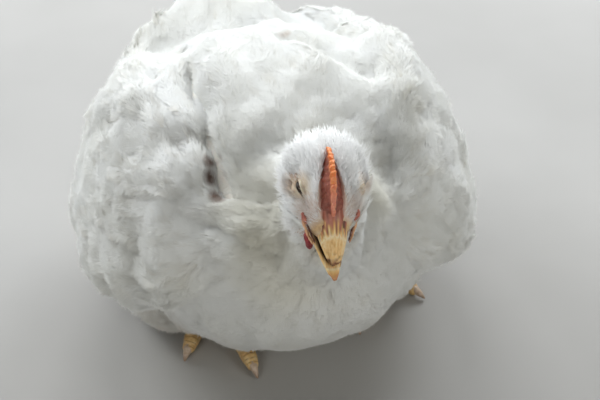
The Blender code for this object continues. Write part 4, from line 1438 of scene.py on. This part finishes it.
TIP = np.array((0.0, -0.0452, -0.0090))
HINGE = np.array((0.0, -0.0140, -0.0054))
LOWER_PLACES = (0, 0.25, 0.5, 0.75, 1)
LOWER_ABOVE = (0.0022, 0.0022, 0.0018, 0.0016, 0.0008)
LOWER_BELOW = (0.0036, 0.0040, 0.0036, 0.0028, 0.0012)
SHELL_POINTS = 25
outer = np.linspace(-1, 1, SHELL_POINTS) * math.pi / 2
trough = np.linspace(1, -1, SHELL_POINTS)[1:-1]
sides = len(outer) + len(trough)
rings, tones = [], []
for share in np.linspace(0, 1, 64):
    bow = math.sin(math.pi * share)
    middle = HINGE + (TIP - HINGE) * share + (-0.0010 * bow**0.8, 0, 0.0006 * bow)
    half = np.interp(share, (0, 0.25, 0.5, 0.75, 0.94, 1), (0.0124, 0.0094, 0.0066, 0.0043, 0.0024, 0.0012))
    above = np.interp(share, LOWER_PLACES, LOWER_ABOVE)
    below = np.interp(share, LOWER_PLACES, LOWER_BELOW)
    height = above - (above + below) * np.cos(outer) ** 0.75
    shell = np.stack([half * np.sin(outer), 0 * outer, height], axis=-1)
    inner_half = half - min(0.0021, half * 0.5)
    height = above - 0.0022 * min(1.0, half / 0.006) ** 2 * (1 - np.abs(trough) ** 6) ** 0.5
    gutter = np.stack([inner_half * trough, 0 * trough, height], axis=-1)
    ring = np.concatenate([shell, gutter]) + middle
    ring[:, 1] += ripple(ring * (1, 0, 1), 0.0028, 73) * 0.0006 * ease(share, 0.85, 1.0)
    rings.append(ring)
    burn = ease(share + 0.04 * np.sin(np.arange(sides)), 0.82, 0.97) * 0.55
    # Green share of Tone: painted shade along the gutter inside the lower half, fading towards its tip.
    dark = np.concatenate([0 * outer, (np.abs(trough) < 0.97) * 1.0]) * (1 - 0.9 * ease(share, 0.70, 0.86))
    red = 0.9 * (1 - ease(share, 0.10, 0.45)) + 0.85 * ease(share, 0.84, 0.98)
    tones.append(np.stack([burn, dark, red * (1 - dark)], axis=-1))
obj = loft("beak_lower_horn", rings, horn_finish, tones)
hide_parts("beak_lower")

# ----------------------------------------------------------------------------------------------------------
# Wattles, ear lobes and mouth corners. Small soft folds of bare skin: dark red wattles under the beak's
# hinge, pale pink lobes behind the cheeks, and a thick pink rim that joins the two halves of the beak. A thin
# near-black strip along the gap between the beak's halves is painted shadow.


def fold_of_skin(name, corners, halves, thick, finish, seed):
    """A pebbly flattened tube through corners in head axes; halves are along the head, thick is across
    it."""
    rings = []
    last = 29
    steps = np.linspace(0, 1, last + 1)
    knots = np.linspace(0, 1, len(corners))
    path = np.stack([np.interp(steps, knots, np.array(corners)[:, k]) for k in range(3)], axis=-1)
    for _ in range(6):
        path[1:-1] = path[1:-1] * 0.5 + (path[:-2] + path[2:]) * 0.25
    angles = np.linspace(0, 2 * math.pi, 28, endpoint=False)
    for i, share in enumerate(steps):
        ahead = unit(path[min(i + 1, last)] - path[max(i - 1, 0)])
        beside = unit(np.cross(ahead, (0.0, 1.0, 0.0)) + 1e-6)
        forward = np.cross(beside, ahead)
        cap = math.sqrt(max(1 - (2 * share - 1) ** 6, 0.02))
        wide, deep = np.interp(share, knots, halves) * cap, np.interp(share, knots, thick) * cap
        ring = path[i] + np.cos(angles)[:, None] * forward * wide + np.sin(angles)[:, None] * beside * deep
        rings.append(ring + unit(ring - path[i]) * (ripple(ring, 0.0024, seed) * 0.00022)[:, None])
    return loft(name, rings, finish)


def soft_finish(name, roughness, scale, dark, light, **fixed):
    """Bare skin in a mottled colour from dark to light."""
    finish, tree, shader, place = new_finish(name, roughness, **fixed)
    mottled = ramp(tree, noise(tree, place, scale, 4.0, 0.6), (0.3, dark), (0.7, light))
    tree.links.new(mottled, shader.inputs["Base Color"])
    return finish, tree, shader, place


wattle_finish, tree, shader, place = soft_finish(
    "wattle_flesh", 0.36, 480.0, (0.15, 0.008, 0.012), (0.38, 0.035, 0.040),
    Subsurface_Weight=0.25, Subsurface_Radius=(0.0020, 0.0004, 0.0003), Subsurface_Scale=1.0,
)
warts = add_node(tree, "ShaderNodeTexVoronoi", Vector=place, Scale=1300.0).outputs["Distance"]
bumped(tree, shader, warts, 0.0003, 0.6)
lobe_finish, tree, shader, place = soft_finish(
    "lobe_skin", 0.5, 380.0, (0.62, 0.24, 0.19), (0.82, 0.50, 0.42),
    Subsurface_Weight=0.3, Subsurface_Radius=(0.0020, 0.0008, 0.0005), Subsurface_Scale=1.0,
)
bumped(tree, shader, noise(tree, place, 900.0), 0.0003, 0.6)
corner_finish, tree, shader, place = soft_finish(
    "mouth_corner_skin", 0.45, 500.0, (0.34, 0.07, 0.055), (0.66, 0.28, 0.20),
    Subsurface_Weight=0.2, Subsurface_Radius=(0.0020, 0.0006, 0.0004), Subsurface_Scale=1.0,
)
bumped(tree, shader, noise(tree, place, 1100.0), 0.0002, 0.6)
# Painted shadow: a near-black finish for the strip that stands for the shade in the gap between the beak's
# halves.
gap_shadow_finish = soft_finish("mouth_line_skin", 0.6, 500.0, (0.045, 0.014, 0.010), (0.17, 0.060, 0.038))[0]
lip_finish, tree, shader, place = soft_finish("lip_skin", 0.42, 420.0, (0.62, 0.27, 0.14), (0.88, 0.55, 0.32))
bumped(tree, shader, noise(tree, place, 1000.0), 0.0002, 0.5)
for side, word in ((-1, "right"), (1, "left")):
    inward = 0.0016 * (side > 0)
    thinner = 0.8 if side < 0 else 0.5
    for name, corners, halves, thick, finish, seed, replaced, slot in (
        (
            "wattle_lobe",
            ((0.0086 * side - inward, -0.0195, -0.0066),
             (0.0088 * side - 2 * inward, -0.0226 + inward, -0.0115),
             (0.0080 * side - 2 * inward, -0.0242 + inward, -0.0170)),
            (0.0026, 0.0042, 0.0034), (0.0016, 0.0022, 0.0015), wattle_finish, 81, "wattle", "comb",
        ),
        (
            "ear_skin",
            ((0.0170 * side, -0.0035, -0.0045), (0.0170 * side, -0.0020, -0.0080),
             (0.0170 * side, -0.0025, -0.0115)),
            (0.0030, 0.0036, 0.0026), (0.0014, 0.0016, 0.0012), lobe_finish, 82, "ear_lobe", "lobe",
        ),
        (
            "mouth_corner",
            ((0.0128 * side, -0.0182, 0.0046), (0.0120 * side, -0.0204, 0.0030),
             (0.0108 * side, -0.0226, 0.0012)),
            (0.0010, 0.0013, 0.0005), (0.0007, 0.0010, 0.0004), corner_finish, 83, None, "lobe",
        ),
        # Painted shadow: the thin dark strip along the gap between the beak's halves, thinner on the left.
        (
            "mouth_line",
            ((0.0112 * side, -0.0208, 0.0014), (0.0098 * side, -0.0245, -0.0006),
             (0.0086 * side, -0.0272, -0.0022),
             (0.0076 * side, -0.0298, -0.0036)),
            np.array((0.0004, 0.0006, 0.0006, 0.0004)) * thinner, (0.0004, 0.0004, 0.0004, 0.0003),
            gap_shadow_finish, 85,
            None, "lobe",
        ),
        (
            "gape_rim",
            ((0.0127 * side, -0.0184, 0.0022), (0.0115 * side, -0.0222, -0.0010),
             (0.0100 * side, -0.0262, -0.0034),
             (0.0082 * side, -0.0300, -0.0050)),
            (0.0008, 0.0010, 0.0008, 0.0004), (0.0006, 0.0008, 0.0006, 0.0003), lip_finish, 84, None, "lobe",
        ),
    ):
        obj = fold_of_skin(f"{name}_{word}", corners, halves, thick, finish, seed)
        if replaced:
            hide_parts(f"{replaced}_{word}")

# ----------------------------------------------------------------------------------------------------------
# Feet. Shanks and toes in yellow scaly skin, with broad scutes on top and soft pads below. The toes carry
# the bird's weight in front of its keel, and each claw is a short curved cone of horn that grows over the
# toe's end.


def scaly_tube(path, wide, high, scute, sides=30, rows=96):
    """Points, faces and groove tone of a tube through corners, with overlapping scutes on top and pads
    below."""
    knots, steps = np.linspace(0, 1, len(path)), np.linspace(0, 1, rows)
    line = np.stack([np.interp(steps, knots, np.array(path)[:, k]) for k in range(3)], axis=-1)
    for _ in range(30):
        line[1:-1] = line[1:-1] * 0.5 + (line[:-2] + line[2:]) * 0.25
    ahead = unit(np.gradient(line, axis=0))
    beside = unit(np.cross(ahead, (0.0, 0.0, 1.0)))
    over = np.cross(beside, ahead)
    run = np.concatenate([[0], np.cumsum(np.linalg.norm(np.diff(line, axis=0), axis=1))])
    turn = np.linspace(0, 2 * math.pi, sides, endpoint=False)[None]
    cap = np.sqrt(np.clip(1 - np.clip((steps - 0.93) / 0.07, 0, 1) ** 2, 0.02, 1))[:, None]
    top = ease(np.cos(turn), -0.05, 0.45)
    phase = (run / scute)[:, None] + 0.10 * np.sin(turn * 2 + (run / scute).round()[:, None])
    plate = 1 - (phase % 1.0) ** 3
    pads = np.maximum(-np.cos(turn), 0) * np.abs(np.sin(run * math.pi / 0.0105))[:, None]
    radius_w = np.interp(steps, knots, wide)[:, None] * cap
    radius_h = np.interp(steps, knots, high)[:, None] * cap
    swell = (0.00030 * plate * top + 0.0006 * pads) * cap
    points = (
        line[:, None]
        + beside[:, None] * ((radius_w + swell) * np.sin(turn))[..., None]
        + over[:, None] * ((radius_h + swell) * np.cos(turn))[..., None]
    )
    points = points.reshape(-1, 3)
    points += unit(points - np.repeat(line, sides, axis=0)) * (ripple(points, 0.0016, 101) * 0.00010)[:, None]
    points[:, 2] = np.maximum(points[:, 2], 0.0002)
    groove = (ease(phase % 1.0, 0.80, 0.98) * top).ravel()
    points = np.concatenate([points, line[[0, -1]]])
    return points, tube_faces(rows, sides), np.concatenate([groove, [0, 0]])


def join_tubes(name, tubes, finish, replaced):
    """Tubes as one piece, with their grooves as its red share of Tone."""
    starts = np.cumsum([0] + [len(points) for points, _, _ in tubes])
    faces = np.concatenate([found + start for (_, found, _), start in zip(tubes, starts)])
    obj = add_piece(name, np.concatenate([points for points, _, _ in tubes]), faces, finish)
    face_outwards(obj.data)
    grooves = np.concatenate([groove for _, _, groove in tubes])
    add_tone(obj.data, np.stack([grooves, 0 * grooves, 0 * grooves], axis=-1))
    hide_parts(replaced)
    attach(obj, "root")


foot_finish, tree, shader, place = new_finish(
    "foot_scales", 0.48, Subsurface_Weight=0.15, Subsurface_Radius=(0.0020, 0.0010, 0.0005),
    Subsurface_Scale=1.0
)
groove = tone_shares(tree)["Red"]
scale_skin = ramp(tree, noise(tree, place, 260.0, 4.0, 0.6), (0.3, (0.56, 0.34, 0.13)),
                  (0.55, (0.74, 0.50, 0.22)),
                  (0.75, (0.80, 0.62, 0.36)))
scale_skin = mixed(tree, stretch(tree, groove, 0.0, 1.0, 0.0, 0.75), scale_skin, (0.24, 0.12, 0.05))
soil = stretch(tree, noise(tree, place, 140.0, 5.0, 0.7), 0.50, 0.68, 0.0, 0.55)
tree.links.new(mixed(tree, soil, scale_skin, (0.30, 0.19, 0.12)), shader.inputs["Base Color"])
pebbles = add_node(tree, "ShaderNodeTexVoronoi", Vector=place, Scale=1400.0).outputs["Distance"]
bumped(tree, shader, pebbles, 0.00025, 0.6)

claw_finish, tree, shader, place = new_finish("claw_horn", 0.36)
horn = ramp(tree, noise(tree, place, 320.0, 4.0, 0.6), (0.3, (0.42, 0.28, 0.19)), (0.7, (0.70, 0.56, 0.44)))
tip = tone_shares(tree)["Red"]
tree.links.new(mixed(tree, tip, horn, (0.20, 0.12, 0.08)), shader.inputs["Base Color"])
bumped(tree, shader, noise(tree, place, 500.0, 3.0), 0.0002, 0.4)

# Each foot: its ball's place, the way that it points, how long its shank is, and each toe's spread and
# length.
TOE_WIDE, TOE_HIGH = (0.0064, 0.0055, 0.0052, 0.0043, 0.0027), (0.0060, 0.0054, 0.0050, 0.0041, 0.0026)
CLAW_WIDE, CLAW_HIGH = (0.0024, 0.0023, 0.0016, 0.0004), (0.0024, 0.0022, 0.0015, 0.0004)
CLAW_CURVE = ((0, 0), (0.0030, 0.0002), (0.0065, -0.0012), (0.0098, -0.0036))
CLAW_SIDES, CLAW_ROWS = 16, 28
claw_dark = ease(np.repeat(np.linspace(0, 1, CLAW_ROWS), CLAW_SIDES), 0.55, 1.0) * 0.6
claw_dark = np.concatenate([claw_dark, [0, 0.6]])


def along_ground(start, way, places):
    """Corners at (distance, rise) places from a start, along a level direction."""
    return [start + way * far + (0, 0, rise) for far, rise in places]


for side, word, ball, heading, shank_long, spreads in (
    (-1, "right", (-0.0360, -0.0047, 0.0080), 9.0, 0.0340,
     ((-30, 0.044), (0, 0.060), (36, 0.044), (-135, 0.020))),
    (1, "left", (0.0430, 0.0083, 0.0080), -4.0, 0.0260,
     ((-30, 0.044), (0, 0.053), (45, 0.048), (-135, 0.020))),
):
    ball = np.array(ball)
    toes = []
    for number, (spread, length) in enumerate(spreads, 1):
        angle = math.radians(heading + spread * side)
        along = np.array((math.sin(angle), -math.cos(angle), 0.0))
        bent = (0, 0), (0.35, -0.0016), (0.7, -0.0032), (1, -0.0036)
        knuckles = [(length * share, rise) for share, rise in bent] + [(length + 0.0075, -0.0048)]
        toes.append(scaly_tube(along_ground(ball, along, knuckles), TOE_WIDE, TOE_HIGH, 0.0026))
        root = ball + along * (length + 0.0030) + (0, 0, -0.0036)
        curve = along_ground(root, along, CLAW_CURVE)
        points, faces, _ = scaly_tube(curve, CLAW_WIDE, CLAW_HIGH, 1.0, CLAW_SIDES, CLAW_ROWS)
        claw = points, faces, claw_dark
        join_tubes(f"claw_horn_{word}_{number}", [claw], claw_finish, f"claw_{word}_{number}")
    join_tubes(f"toes_{word}", toes, foot_finish, f"foot_{word}")
    turn = math.radians(heading)
    back = np.array((-math.sin(turn), math.cos(turn), 0.0))
    path = along_ground(ball, back, ((shank_long, 0.0030), (shank_long * 0.6, 0.0030), (0.0, 0.0010)))
    shank = scaly_tube(path, (0.0056, 0.0058, 0.0064), (0.0056, 0.0064, 0.0060), 0.0036, 34, 96)
    join_tubes(f"shank_scales_{word}", [shank], foot_finish, f"shank_{word}")

# ----------------------------------------------------------------------------------------------------------
# The guide is removed, as it isn't part of the model.

bpy.data.objects.remove(guide)
